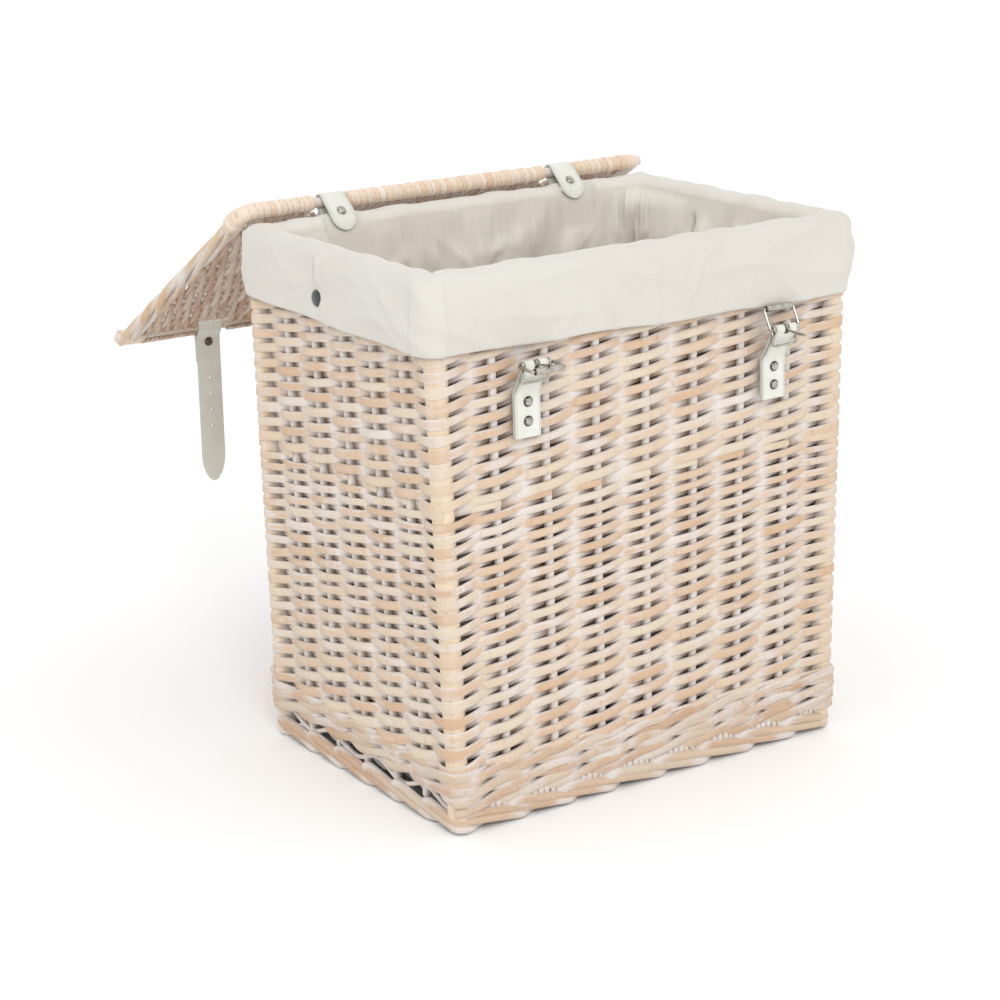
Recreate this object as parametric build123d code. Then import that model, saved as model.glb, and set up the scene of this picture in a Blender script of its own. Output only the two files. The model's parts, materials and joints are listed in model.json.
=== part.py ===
from build123d import *
import math
import os

# Woven willow laundry hamper, lid open, with a cloth lining, leather hinges and two strap-and-buckle
# closures. Millimetres. The origin is the centre of the base on the floor, X along the long front,
# +Y to the back where the lid is hinged, +Z up.

# Driving dimensions: body
height = 500.0              # floor to the top of the lined rim
base_width = 436.0          # outer weave at the floor, along X
base_depth = 318.0
top_width = 462.0           # outer weave at rim height
top_depth = 308.0
corner_radius = 14.0
inner_corner_radius = 3.0
wall = 22.0                 # thickness of the woven wall, strokes both sides of the stakes
foot_top = 18.0             # foot border, from the floor
base_ledge_top = 22.0       # edge of the woven base, seen as a dark line round the foot
base_top = 30.0
wale_top = 58.0
siding_break = 293.0        # where one set of weavers ends and the next begins
siding_top = 478.0
rim_top = 496.5
base_edge_inset = 3.0
floor_clearance = 0.2

# Uprights
stake_d = 7.0
post_d = 13.0
upright_inset = 11.0
stakes_long_side = 7
stakes_short_side = 5
stake_bottom = 6.0
stake_top = 490.0
upright_clearance = 0.15
base_stick_d = 8.0
base_stick_z = 25.0
base_stick_count = 6
base_stick_pitch = 40.0
stick_end_gap = 1.0         # between a base stick's end and the wall

# Lining
cloth = 1.2
cuff_standoff = 1.8
liner_gap = 1.6
hem_z = 428.0
liner_floor_z = 30.3
stud_y = 18.0
stud_z = 453.0
stud_r = 7.5
stud_height = 3.0
stud_edge = 0.8
stud_shank_r = 2.0
stud_shank_gap = 0.1
socket_r = 5.0
socket_height = 1.2
cuff_corner_radius = 17.0
liner_corner_radius = 3.0

# Lid, laid out closed and then turned back to its open rest position
hinge_y = 160.6
hinge_z = 508.3
lid_half_width = 232.0
lid_depth = 304.0           # hinge rod axis to front rod axis
lid_open_angle = 212.3      # closed to fully open
rod_r = 5.0
wrap_r = 7.25
wrap_gap_left = 20.0        # bare rod from a hinge strap's centre towards -X
wrap_gap_right = 15.0
front_rod_r = 6.0
lid_stick_r = 3.0
lid_stick_count = 6
lid_stick_pitch = 43.4
lid_thickness = 12.0
lid_border_width = 22.0
lid_border_thickness = 13.0
lid_border_round = 5.0
lid_stick_end_gap = 3.0
lid_gap = 0.3

# Leather
leather = 2.4
strap_width = 27.0
hinge_x = 131.0
hinge_bore_r = 5.4
window_width = 32.0
hinge_window = 28.0
notch_clearance = 0.3       # room each side of a hinge strap in the rim
notch_reach_y = 120.0       # how far in the rim's notch is cut, up to notch_top_z
notch_low_z = 483.0
notch_top_z = 520.0
inner_shank = 12.0
outer_shank = 14.0
strap_window = 13.0
strap_x = 132.0
strap_bore_r = 6.4
strap_length = 166.0        # front rod axis to strap tip
strap_ply_length = 38.0
strap_tip_length = 30.0
strap_tip_half_width = 6.0
strap_tip_rise = 5.0        # from the tip to where it is that wide
strap_hole_r = 1.5
strap_hole_start = 56.0
strap_hole_pitch = 17.0
strap_hole_count = 4
strap_rivet_drop = 17.0

# Buckles: each is a roller frame, a prong and a wire keeper, all turning on one bar
buckle_x = 136.0
wire_r = 1.4
keeper_wire_r = 1.2
frame_half_width = 16.8
bar_to_roller = 20.0
roller_r = 3.0
roller_half_length = 14.6
pin_clearance = 0.3
seat_gap = 0.15             # between a rivet's head or a stud and what it clamps
prong_r = 1.2
prong_length = 27.0
prong_eye_r = 3.7
prong_slot_half_width = 2.4
keeper_half_width = 13.8
keeper_drop = 15.0
keeper_eye_r = 3.0
fold_half_width = 12.2
fold_r = 3.9
tab_thickness = 4.4
rivet_head_r = 4.7
rivet_head_height = 2.4
rivet_shank_r = 1.6
rivet_pitch = 17.0
tab_standoff = 0.3          # leather to the outer weave
tab_lift = 7.0              # above the top rivet, where the leather leaves the wall
burr_gap = 0.1
burr_thickness = 1.0

# side: x sign, bar y, bar z, tab bottom z, top rivet z, frame elevation, prong elevation above -Y
buckles = {
    "left": (-1, -171.0, 415.0, 349.0, 380.5, -3.0, 10.2),
    "right": (1, -174.5, 407.5, 340.0, 370.0, 118.0, -3.0),
}


def half_width(z):
    """Half of the outer weave along X at a height."""
    return (base_width + (top_width - base_width) * z / height) / 2


def half_depth(z):
    """Half of the outer weave along Y at a height."""
    return (base_depth + (top_depth - base_depth) * z / height) / 2


def block(z0, z1, offset, radius):
    """A solid that follows the body's taper between two heights, grown by an offset."""
    faces = []
    for z in (z0, z1):
        outline = RectangleRounded(2 * (half_width(z) + offset), 2 * (half_depth(z) + offset), radius)
        faces.append(Location((0, 0, z)) * outline)
    return loft(faces)


def ring(z0, z1, outer, inner, outer_radius=corner_radius, inner_radius=inner_corner_radius):
    """A wall that follows the taper, between two offsets from the outer weave."""
    return block(z0, z1, outer, outer_radius) - block(z0, z1, inner, inner_radius)


def rod(p0, p1, radius):
    """A round rod between two points."""
    start = Vector(*p0)
    run = Vector(*p1) - start
    plane = Plane(origin=start, z_dir=run)
    return plane * Cylinder(radius, run.length, align=(Align.CENTER, Align.CENTER, Align.MIN))


def bar_x(x0, x1, y, z, radius):
    """A round bar along X."""
    return rod((x0, y, z), (x1, y, z), radius)


def strip(points, x, width, thickness):
    """A leather strip of constant thickness that follows points (y, z) in the YZ plane."""
    body = None
    for (y0, z0), (y1, z1) in zip(points[:-1], points[1:]):
        run = math.hypot(y1 - y0, z1 - z0)
        angle = math.degrees(math.atan2(z1 - z0, y1 - y0))
        piece = Location((x, (y0 + y1) / 2, (z0 + z1) / 2)) * Rot(X=angle) * Box(width, run, thickness)
        body = piece if body is None else body + piece
    for y, z in points[1:-1]:
        body = body + bar_x(x - width / 2, x + width / 2, y, z, thickness / 2)
    return body


def upright_feet():
    """(x fraction, y fraction, is a corner post) of each upright, as parts of the half sides."""
    feet = [(sx, sy, True) for sx in (-1, 1) for sy in (-1, 1)]
    for i in range(stakes_long_side):
        x = -1 + 2 * (i + 1) / (stakes_long_side + 1)
        feet += [(x, -1, False), (x, 1, False)]
    for i in range(stakes_short_side):
        y = -1 + 2 * (i + 1) / (stakes_short_side + 1)
        feet += [(-1, y, False), (1, y, False)]
    return feet


def upright(foot, z0, z1, extra=0.0):
    """One upright between two heights, leaning with the wall."""
    fx, fy, is_post = foot
    ends = []
    for z in (z0, z1):
        ends.append((fx * (half_width(z) - upright_inset), fy * (half_depth(z) - upright_inset), z))
    return rod(ends[0], ends[1], (post_d if is_post else stake_d) / 2 + extra)


def uprights(is_post):
    return Compound([upright(foot, stake_bottom, stake_top) for foot in upright_feet() if foot[2] == is_post])


def channels():
    return [upright(foot, stake_bottom - 1, stake_top + 1, upright_clearance) for foot in upright_feet()]


def rivet(point, outward, shank):
    """A domed rivet whose head's flat face is at point, with its shank pointing inwards."""
    plane = Plane(origin=point, z_dir=outward)
    cap_r = (rivet_head_r ** 2 + rivet_head_height ** 2) / (2 * rivet_head_height)
    dome = Location((0, 0, rivet_head_height - cap_r)) * Sphere(cap_r)
    top = (Align.CENTER, Align.CENTER, Align.MIN)
    dome = dome & Cylinder(rivet_head_r + 1, rivet_head_height + 1, align=top)
    stem = Location((0, 0, -shank)) * Cylinder(rivet_shank_r, shank + 0.5, align=top)
    return plane * (dome + stem)


def rivet_hole(point, outward, depth):
    """The clear hole for a rivet's shank."""
    plane = Plane(origin=point, z_dir=outward)
    low = (Align.CENTER, Align.CENTER, Align.MAX)
    return plane * Cylinder(rivet_shank_r + upright_clearance, depth + 1, align=low)


# Front buckle tabs ------------------------------------------------------------------------------

def front_face(z):
    return -half_depth(z)


def tab_rivets(side):
    """Head positions of a tab's two rivets, on its outer face."""
    sign, _, _, _, top_rivet, _, _ = buckles[side]
    heights = (top_rivet, top_rivet - rivet_pitch)
    return [(sign * buckle_x, front_face(z) - tab_standoff - tab_thickness - seat_gap, z) for z in heights]


def buckle_tab(side):
    """Two plies of leather riveted to the wall, folded round the buckle's bar."""
    sign, bar_y, bar_z, bottom, top_rivet, _, _ = buckles[side]
    x = sign * buckle_x
    lift = top_rivet + tab_lift
    offset = tab_standoff + tab_thickness / 2
    flat_low = (front_face(bottom) - offset, bottom)
    flat_high = (front_face(lift) - offset, lift)
    tab = strip([flat_low, flat_high], x, strap_width, tab_thickness)
    tab = tab + strip([flat_high, (bar_y, bar_z)], x, 2 * fold_half_width, tab_thickness)
    tab = tab + bar_x(x - fold_half_width, x + fold_half_width, bar_y, bar_z, fold_r)
    tab = tab + bar_x(x - fold_half_width, x + fold_half_width, *flat_high, tab_thickness / 2)
    tab = tab - bar_x(x - strap_width, x + strap_width, bar_y, bar_z, wire_r + pin_clearance)
    slot = prong_slot_half_width
    tab = tab - bar_x(x - slot, x + slot, bar_y, bar_z, prong_eye_r + 2 * pin_clearance)
    for point in tab_rivets(side):
        tab = tab - rivet_hole(point, (0, -1, 0), tab_thickness + 2)
    return tab


def burr_y(z):
    """Outer face of a rivet's burr, on the inside of the woven wall."""
    return front_face(z) + wall


def buckle_rivets(side):
    beyond = 2 * burr_gap + burr_thickness
    return Compound([rivet(p, (0, -1, 0), burr_y(p[2]) + beyond - p[1]) for p in tab_rivets(side)])


def rivet_burrs():
    """The flat washers that the buckle rivets are closed over, inside the wall."""
    burrs = []
    for side in buckles:
        for x, _, z in tab_rivets(side):
            near = burr_y(z) + burr_gap
            far = near + burr_thickness
            washer = rod((x, near, z), (x, far, z), rivet_head_r)
            burrs.append(washer - rod((x, near - 1, z), (x, far + 1, z), rivet_shank_r + burr_gap))
    return Compound(burrs)


# Buckle pieces, drawn flat with the bar on X and the roller towards +Y ----------------------------

def placed(side, shape, elevation):
    """Puts a flat buckle piece on its bar, pointing out from the wall at an elevation."""
    sign, bar_y, bar_z = buckles[side][:3]
    return Location((sign * buckle_x, bar_y, bar_z)) * Rot(X=180 - elevation) * shape


def buckle_frame(side):
    """A closed wire frame: the bar in the leather, two sides and the roller's axle."""
    w = frame_half_width
    frame = rod((-w, 0, 0), (w, 0, 0), wire_r) + rod((-w, bar_to_roller, 0), (w, bar_to_roller, 0), wire_r)
    for x in (-w, w):
        frame = frame + rod((x, 0, 0), (x, bar_to_roller, 0), wire_r)
        for y in (0, bar_to_roller):
            frame = frame + Location((x, y, 0)) * Sphere(wire_r)
    return placed(side, frame, buckles[side][5])


def buckle_roller(side):
    tube = rod((-roller_half_length, bar_to_roller, 0), (roller_half_length, bar_to_roller, 0), roller_r)
    reach = roller_half_length + 1
    bore = rod((-reach, bar_to_roller, 0), (reach, bar_to_roller, 0), wire_r + pin_clearance)
    return placed(side, tube - bore, buckles[side][5])


def buckle_prong(side):
    eye = rod((-prong_r, 0, 0), (prong_r, 0, 0), prong_eye_r)
    prong = eye + rod((0, prong_eye_r - 1, 0), (0, prong_length, 0), prong_r)
    prong = prong + Location((0, prong_length, 0)) * Sphere(prong_r)
    prong = prong - rod((-5, 0, 0), (5, 0, 0), wire_r + pin_clearance)
    return placed(side, prong, buckles[side][6])


def buckle_keeper(side):
    """A wire loop that hangs from the bar in front of the leather and holds the strap's end."""
    w = keeper_half_width
    r = keeper_wire_r
    keeper = rod((-w, keeper_drop, 0), (w, keeper_drop, 0), r)
    for x in (-w, w):
        keeper = keeper + rod((x, keeper_eye_r - 0.8, 0), (x, keeper_drop, 0), r)
        keeper = keeper + Location((x, keeper_drop, 0)) * Sphere(r)
        eye = rod((x - r, 0, 0), (x + r, 0, 0), keeper_eye_r)
        keeper = keeper + eye - rod((x - 2 * r, 0, 0), (x + 2 * r, 0, 0), wire_r + pin_clearance)
    return placed(side, keeper, -90)


# Hinge straps ---------------------------------------------------------------------------------------

# Centre line of the inner leg, (y, z): off the top of the rod, over the rim and down inside it
inner_leg = [(156.1, 513.1), (143.0, 500.9), (136.5, 493.0), (132.6, 484.5)]
outer_leg = [(161.5, 501.8), (158.6, 496.0), (158.8, 472.0)]
inner_rivet_out = (0, -0.682, 0.731)
outer_rivet_z = 480.0


def hinge_rivet_seats(x):
    """(head seat, outward direction, shank length) of a hinge strap's two rivets."""
    reach = leather / 2
    y, z = inner_leg[1]
    inner = (x, y + inner_rivet_out[1] * reach, z + inner_rivet_out[2] * reach)
    outer = (x, outer_leg[2][0] + reach, outer_rivet_z)
    return [(inner, inner_rivet_out, inner_shank), (outer, (0, 1, 0), outer_shank)]


def hinge_strap(sign):
    x = sign * hinge_x
    strap = bar_x(x - strap_width / 2, x + strap_width / 2, hinge_y, hinge_z, hinge_bore_r + leather)
    strap = strap + strip(inner_leg, x, strap_width, leather) + strip(outer_leg, x, strap_width, leather)
    strap = strap - bar_x(x - strap_width, x + strap_width, hinge_y, hinge_z, hinge_bore_r)
    for seat, out, depth in hinge_rivet_seats(x):
        strap = strap - rivet_hole(seat, out, depth)
    return strap


def hinge_notch(sign):
    """Room in the rim and lining for a hinge strap's inner leg and both rivet shanks."""
    x = sign * hinge_x
    width = strap_width + 2 * notch_clearance
    notch = strip(inner_leg, x, width, leather + 2 * notch_clearance)
    corners = [(notch_reach_y, notch_low_z), (notch_reach_y, notch_top_z), (inner_leg[0][0], notch_top_z)]
    above = Polyline(*inner_leg, *corners, close=True)
    room = Plane(origin=(x - width / 2, 0, 0), x_dir=(0, 1, 0), z_dir=(1, 0, 0)) * make_face(above)
    notch = notch + extrude(room, width)
    for seat, out, depth in hinge_rivet_seats(x):
        notch = notch + rivet_hole(seat, out, depth)
    return notch


def hinge_rivets():
    seats = hinge_rivet_seats(-hinge_x) + hinge_rivet_seats(hinge_x)
    return Compound([rivet(seat, out, depth) for seat, out, depth in seats])


# Body -----------------------------------------------------------------------------------------------

def woven_ring(z0, z1, cutters):
    return ring(z0, z1, 0, -wall) - cutters


def base_weave(cutters):
    """The woven base: a wide ledge between foot and wale, and a plate inside the wale."""
    ledge = block(foot_top, base_ledge_top, -base_edge_inset, corner_radius)
    plate = block(base_ledge_top, base_top, -wall - floor_clearance, inner_corner_radius)
    return ledge + plate - cutters - base_stick_rods(upright_clearance)


def base_stick_rods(extra=0.0):
    reach = half_width(base_stick_z) - wall - floor_clearance - stick_end_gap + (1 if extra else 0)
    rods = []
    for i in range(base_stick_count):
        y = (i - (base_stick_count - 1) / 2) * base_stick_pitch
        rods.append(bar_x(-reach, reach, y, base_stick_z, base_stick_d / 2 + extra))
    return rods


def liner(notches):
    """A tube of cloth inside the body, turned out over the rim into a deep cuff."""
    outside = cuff_standoff + cloth
    inside = -wall - liner_gap
    cuff = ring(hem_z, height, outside, cuff_standoff, cuff_corner_radius, cuff_corner_radius - cloth)
    turn = ring(height - cloth, height, outside, inside - cloth, cuff_corner_radius, liner_corner_radius)
    drop = ring(liner_floor_z + cloth, height, inside, inside - cloth, liner_corner_radius + cloth,
                liner_corner_radius)
    return cuff + turn + drop - notches - stud_shank(stud_shank_gap)


def liner_floor():
    return block(liner_floor_z, liner_floor_z + cloth, -wall - liner_gap, inner_corner_radius)


def cuff_face_x():
    return -half_width(stud_z) - cuff_standoff - cloth


def stud_shank(extra=0.0):
    x = cuff_face_x()
    return rod((x - 1, stud_y, stud_z), (x + cloth + 0.5, stud_y, stud_z), stud_shank_r + extra)


def stud_cap():
    """The round head of the press stud on the cuff's left side, with its post through the cloth."""
    x = cuff_face_x() - 2 * seat_gap
    cap = rod((x - stud_height, stud_y, stud_z), (x, stud_y, stud_z), stud_r)
    return chamfer(cap.edges().filter_by(GeomType.CIRCLE), stud_edge) + stud_shank()


def stud_socket():
    """The stud's other half, behind the cloth."""
    x = cuff_face_x() + cloth + 2 * seat_gap
    socket = rod((x, stud_y, stud_z), (x + socket_height, stud_y, stud_z), socket_r)
    return socket - stud_shank(stud_shank_gap)


# Lid ------------------------------------------------------------------------------------------------

def opened(shape):
    """Turns a piece drawn on the closed lid back to the open rest position."""
    hinge = Location((0, hinge_y, hinge_z))
    return hinge * Rot(X=-lid_open_angle) * hinge.inverse() * shape


def lid_slab(x0, x1, s0, s1, thickness):
    """A flat box on the closed lid, s being the distance from the hinge rod towards the front."""
    centre = ((x0 + x1) / 2, hinge_y - (s0 + s1) / 2, hinge_z)
    return Location(centre) * Box(x1 - x0, s1 - s0, thickness)


def lid_hinge_rod():
    return opened(bar_x(-lid_half_width, lid_half_width, hinge_y, hinge_z, rod_r))


def lid_hinge_wrap():
    """Split willow wound round the hinge rod, left off where the hinge straps turn on it."""
    stops = [-lid_half_width]
    for x in (-hinge_x, hinge_x):
        stops += [x - wrap_gap_left, x + wrap_gap_right]
    stops.append(lid_half_width)
    tubes = []
    for x0, x1 in zip(stops[0::2], stops[1::2]):
        tube = bar_x(x0, x1, hinge_y, hinge_z, wrap_r)
        tubes.append(opened(tube - bar_x(x0 - 1, x1 + 1, hinge_y, hinge_z, rod_r + 0.1)))
    return Compound(tubes)


def lid_front_rod():
    return opened(bar_x(-lid_half_width, lid_half_width, hinge_y - lid_depth, hinge_z, front_rod_r))


def lid_sticks(extra=0.0):
    reach = lid_half_width - lid_border_width - (0 if extra else lid_stick_end_gap)
    ys = [hinge_y - lid_stick_pitch * (i + 1) for i in range(lid_stick_count)]
    return [opened(bar_x(-reach, reach, y, hinge_z, lid_stick_r + extra)) for y in ys]


def lid_panel():
    reach = lid_half_width - lid_border_width - lid_gap
    far = lid_depth - front_rod_r - lid_gap
    panel = lid_slab(-reach, reach, wrap_r + lid_gap, far, lid_thickness)
    for sign in (-1, 1):
        x = sign * hinge_x
        w = window_width / 2
        panel = panel - lid_slab(x - w, x + w, 0, hinge_window, lid_thickness + 2)
        x = sign * strap_x
        panel = panel - lid_slab(x - w, x + w, lid_depth - strap_window, lid_depth, lid_thickness + 2)
    return opened(panel) - lid_sticks(upright_clearance)


def lid_border(sign):
    """The long side of the lid, where the weavers are twisted into a border."""
    x = sign * (lid_half_width - lid_border_width / 2)
    w = lid_border_width / 2
    far = lid_depth - front_rod_r - lid_gap
    border = lid_slab(x - w, x + w, wrap_r + lid_gap, far, lid_border_thickness)
    border = fillet(border.edges().filter_by(Axis.Y), lid_border_round)
    return opened(border)


# Closing straps, hanging straight down from the lid's front rod --------------------------------------

def front_rod_at_rest():
    """(y, z) of the front rod's axis with the lid open."""
    lean = math.radians(180 - lid_open_angle)
    return hinge_y + lid_depth * math.cos(lean), hinge_z + lid_depth * math.sin(lean)


def closing_strap(sign):
    x = sign * strap_x
    y, z = front_rod_at_rest()
    w = strap_width / 2
    tip = z - strap_length
    shoulder = tip + strap_tip_length
    half = Polyline((-w, z - strap_bore_r), (-w, shoulder))
    near = tip + strap_tip_rise
    point = Spline((-w, shoulder), (-strap_tip_half_width, near), (0, tip), (strap_tip_half_width, near),
                   (w, shoulder), tangents=[(0, -1), (0, 1)])
    rest = Polyline((w, shoulder), (w, z - strap_bore_r), (-w, z - strap_bore_r))
    outline = make_face(half + point + rest)
    face = Plane(origin=(x, y, 0), x_dir=(1, 0, 0), z_dir=(0, -1, 0)) * outline
    strap = extrude(face, leather)
    ply = Box(strap_width, leather, strap_ply_length - strap_bore_r)
    strap = strap + Location((x, y + leather / 2, z - (strap_ply_length + strap_bore_r) / 2)) * ply
    strap = strap + bar_x(x - w, x + w, y, z, strap_bore_r + leather)
    strap = strap - bar_x(x - 2 * w, x + 2 * w, y, z, strap_bore_r)
    for i in range(strap_hole_count):
        drop = strap_hole_start + i * strap_hole_pitch
        strap = strap - rod((x, y - 5, z - drop), (x, y + 5, z - drop), strap_hole_r)
    return strap - rivet_hole((x, y - leather, z - strap_rivet_drop), (0, -1, 0), 2 * leather + 1)


def closing_strap_rivet(sign):
    y, z = front_rod_at_rest()
    seat = (sign * strap_x, y - leather, z - strap_rivet_drop)
    back = (sign * strap_x, y + leather, z - strap_rivet_drop)
    return rivet(seat, (0, -1, 0), 2 * leather) + rivet(back, (0, 1, 0), leather)


def write(name, shape):
    shape.label = name
    export_step(shape, os.path.join("parts", name + ".step"))


def main():
    os.makedirs("parts", exist_ok=True)
    uprights_room = channels()
    hinge_room = [hinge_notch(-1), hinge_notch(1)]
    shank_room = []
    for side in buckles:
        for point in tab_rivets(side):
            shank_room.append(rivet_hole(point, (0, -1, 0), wall + tab_thickness + 3))

    write("foot_border", woven_ring(0, foot_top, uprights_room))
    write("base_weave", base_weave(uprights_room))
    write("base_sticks", Compound(base_stick_rods()))
    write("waling_band", woven_ring(base_ledge_top, wale_top, uprights_room))
    write("siding_lower", woven_ring(wale_top, siding_break, uprights_room))
    write("siding_upper", woven_ring(siding_break, siding_top, uprights_room + shank_room))
    write("rim_border", woven_ring(siding_top, rim_top, uprights_room + hinge_room))
    write("stakes", uprights(False))
    write("corner_posts", uprights(True))
    write("liner", liner(hinge_room))
    write("liner_floor", liner_floor())
    write("liner_stud_cap", stud_cap())
    write("liner_stud_socket", stud_socket())
    write("hinge_rivets", hinge_rivets())
    write("rivet_burrs", rivet_burrs())

    write("lid_hinge_rod", lid_hinge_rod())
    write("lid_hinge_wrap", lid_hinge_wrap())
    write("lid_front_rod", lid_front_rod())
    write("lid_sticks", Compound(lid_sticks()))
    write("lid_panel", lid_panel())

    for name, sign in (("left", -1), ("right", 1)):
        write("hinge_strap_" + name, hinge_strap(sign))
        write("lid_border_" + name, lid_border(sign))
        write("closing_strap_" + name, closing_strap(sign))
        write("closing_strap_rivet_" + name, closing_strap_rivet(sign))
        write("buckle_tab_" + name, buckle_tab(name))
        write("buckle_rivets_" + name, buckle_rivets(name))
        write("buckle_frame_" + name, buckle_frame(name))
        write("buckle_roller_" + name, buckle_roller(name))
        write("buckle_prong_" + name, buckle_prong(name))
        write("buckle_keeper_" + name, buckle_keeper(name))


main()
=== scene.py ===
import json
import math

import bpy
import numpy as np
from mathutils import Matrix, Vector


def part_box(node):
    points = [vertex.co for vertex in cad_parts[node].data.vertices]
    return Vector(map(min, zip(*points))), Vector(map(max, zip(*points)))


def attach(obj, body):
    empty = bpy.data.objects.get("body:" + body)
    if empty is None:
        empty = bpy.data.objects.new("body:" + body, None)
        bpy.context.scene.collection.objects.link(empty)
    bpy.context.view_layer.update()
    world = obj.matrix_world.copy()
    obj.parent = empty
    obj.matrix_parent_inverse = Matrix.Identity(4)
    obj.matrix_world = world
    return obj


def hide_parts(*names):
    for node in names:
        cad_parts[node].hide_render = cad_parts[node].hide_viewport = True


# Looks of a woven willow laundry hamper. Metres, in the CAD model's frame: X along the front,
# +Y to the hinged back, +Z up from the floor.

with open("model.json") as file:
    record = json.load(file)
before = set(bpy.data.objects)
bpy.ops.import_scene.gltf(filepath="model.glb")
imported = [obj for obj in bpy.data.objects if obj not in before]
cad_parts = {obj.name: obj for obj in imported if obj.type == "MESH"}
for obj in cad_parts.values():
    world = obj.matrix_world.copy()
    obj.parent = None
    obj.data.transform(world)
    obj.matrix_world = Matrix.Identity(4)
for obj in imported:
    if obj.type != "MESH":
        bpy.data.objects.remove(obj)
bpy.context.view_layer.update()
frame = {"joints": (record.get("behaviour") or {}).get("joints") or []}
MM = 0.001
joints = {j["name"]: j for j in frame["joints"]}


def joint_at(name):
    return np.array(joints[name]["pos_m"], float)


# The body's shape, read from the frame ---------------------------------------------------------------

foot_low, foot_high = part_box("foot_border")
rim_low, rim_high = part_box("rim_border")
lower_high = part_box("siding_lower")[1]
upper_low, upper_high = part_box("siding_upper")
wale_low, wale_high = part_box("waling_band")
base_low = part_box("base_weave")[0]
liner_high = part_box("liner")[1]
WALL = 22 * MM
INSET = 11 * MM            # outer face of the weave to the uprights' centres
STAKE_R = 3.5 * MM
POST_R = 9.5 * MM
SPACES = (8, 6, 8, 6)      # spaces between uprights along the front, right, back and left
UPRIGHTS = sum(SPACES)
CORNERS = (0, 8, 14, 22)   # front left, front right, back right, back left
STEP = 10                  # rings of a weaver per space
TURN = 0.11                # spaces each side of a corner that a weaver takes to turn


def half_width(z):
    return foot_high.x + (rim_high.x - foot_high.x) * (z - foot_high.z) / (rim_high.z - foot_high.z)


def half_depth(z):
    return foot_high.y + (rim_high.y - foot_high.y) * (z - foot_low.z) / (rim_low.z - foot_low.z)


def wall_point(u, z, offset):
    """Points of the wall: u counts uprights anticlockwise from the front left corner, offset is outwards
    from the uprights' line. Returns the points and the outward directions."""
    u = np.mod(np.asarray(u, float), UPRIGHTS)
    z = np.broadcast_to(np.asarray(z, float), u.shape)
    offset = np.broadcast_to(np.asarray(offset, float), u.shape)
    side = np.searchsorted(CORNERS, u, side="right") - 1
    spaces = np.array(SPACES)[side]
    f = (u - np.array(CORNERS)[side]) / spaces
    edge = TURN / spaces
    one = 1 / spaces
    along = np.where(f < one, np.clip((f - edge) / (one - edge), 0, 1) * one, f)
    tail = np.clip((f - 1 + one) / (one - edge), 0, 1) * one + 1 - one
    along = np.where(f > 1 - one, tail, along)
    turn = np.where(f < edge, f / edge - 1, np.where(f > 1 - edge, (f - 1) / edge + 1, 0))
    angle = np.radians(-90 + 90 * side + 45 * turn)
    hw = half_width(z) - INSET
    hd = half_depth(z) - INSET
    ramp = 2 * along - 1
    x = np.choose(side, [ramp * hw, hw, -ramp * hw, -hw])
    y = np.choose(side, [-hd, ramp * hd, hd, -ramp * hd])
    out = np.stack([np.cos(angle), np.sin(angle), np.zeros_like(angle)], -1)
    return np.stack([x, y, z], -1) + out * offset[..., None], out


# Meshes ----------------------------------------------------------------------------------------------

def smooth(x):
    x = np.clip(x, 0, 1)
    return x * x * (3 - 2 * x)


def unit(v):
    return v / np.maximum(np.linalg.norm(v, axis=-1, keepdims=True), 1e-12)


def ups(count):
    """The upward direction, once for each point of a rod."""
    return np.tile([0.0, 0.0, 1.0], (count, 1))


def eased(knots, values, t, straight=0.0):
    """Values given at the knots, eased in between, or partly straight."""
    knots = np.asarray(knots, float)
    values = np.asarray(values, float)
    k = np.clip(np.searchsorted(knots, t, side="right") - 1, 0, len(knots) - 2)
    f = np.clip((t - knots[k]) / (knots[k + 1] - knots[k]), 0, 1)
    f = straight * f + (1 - straight) * (1 - np.cos(np.pi * f)) / 2
    return values[k] * (1 - f) + values[k + 1] * f


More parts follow.
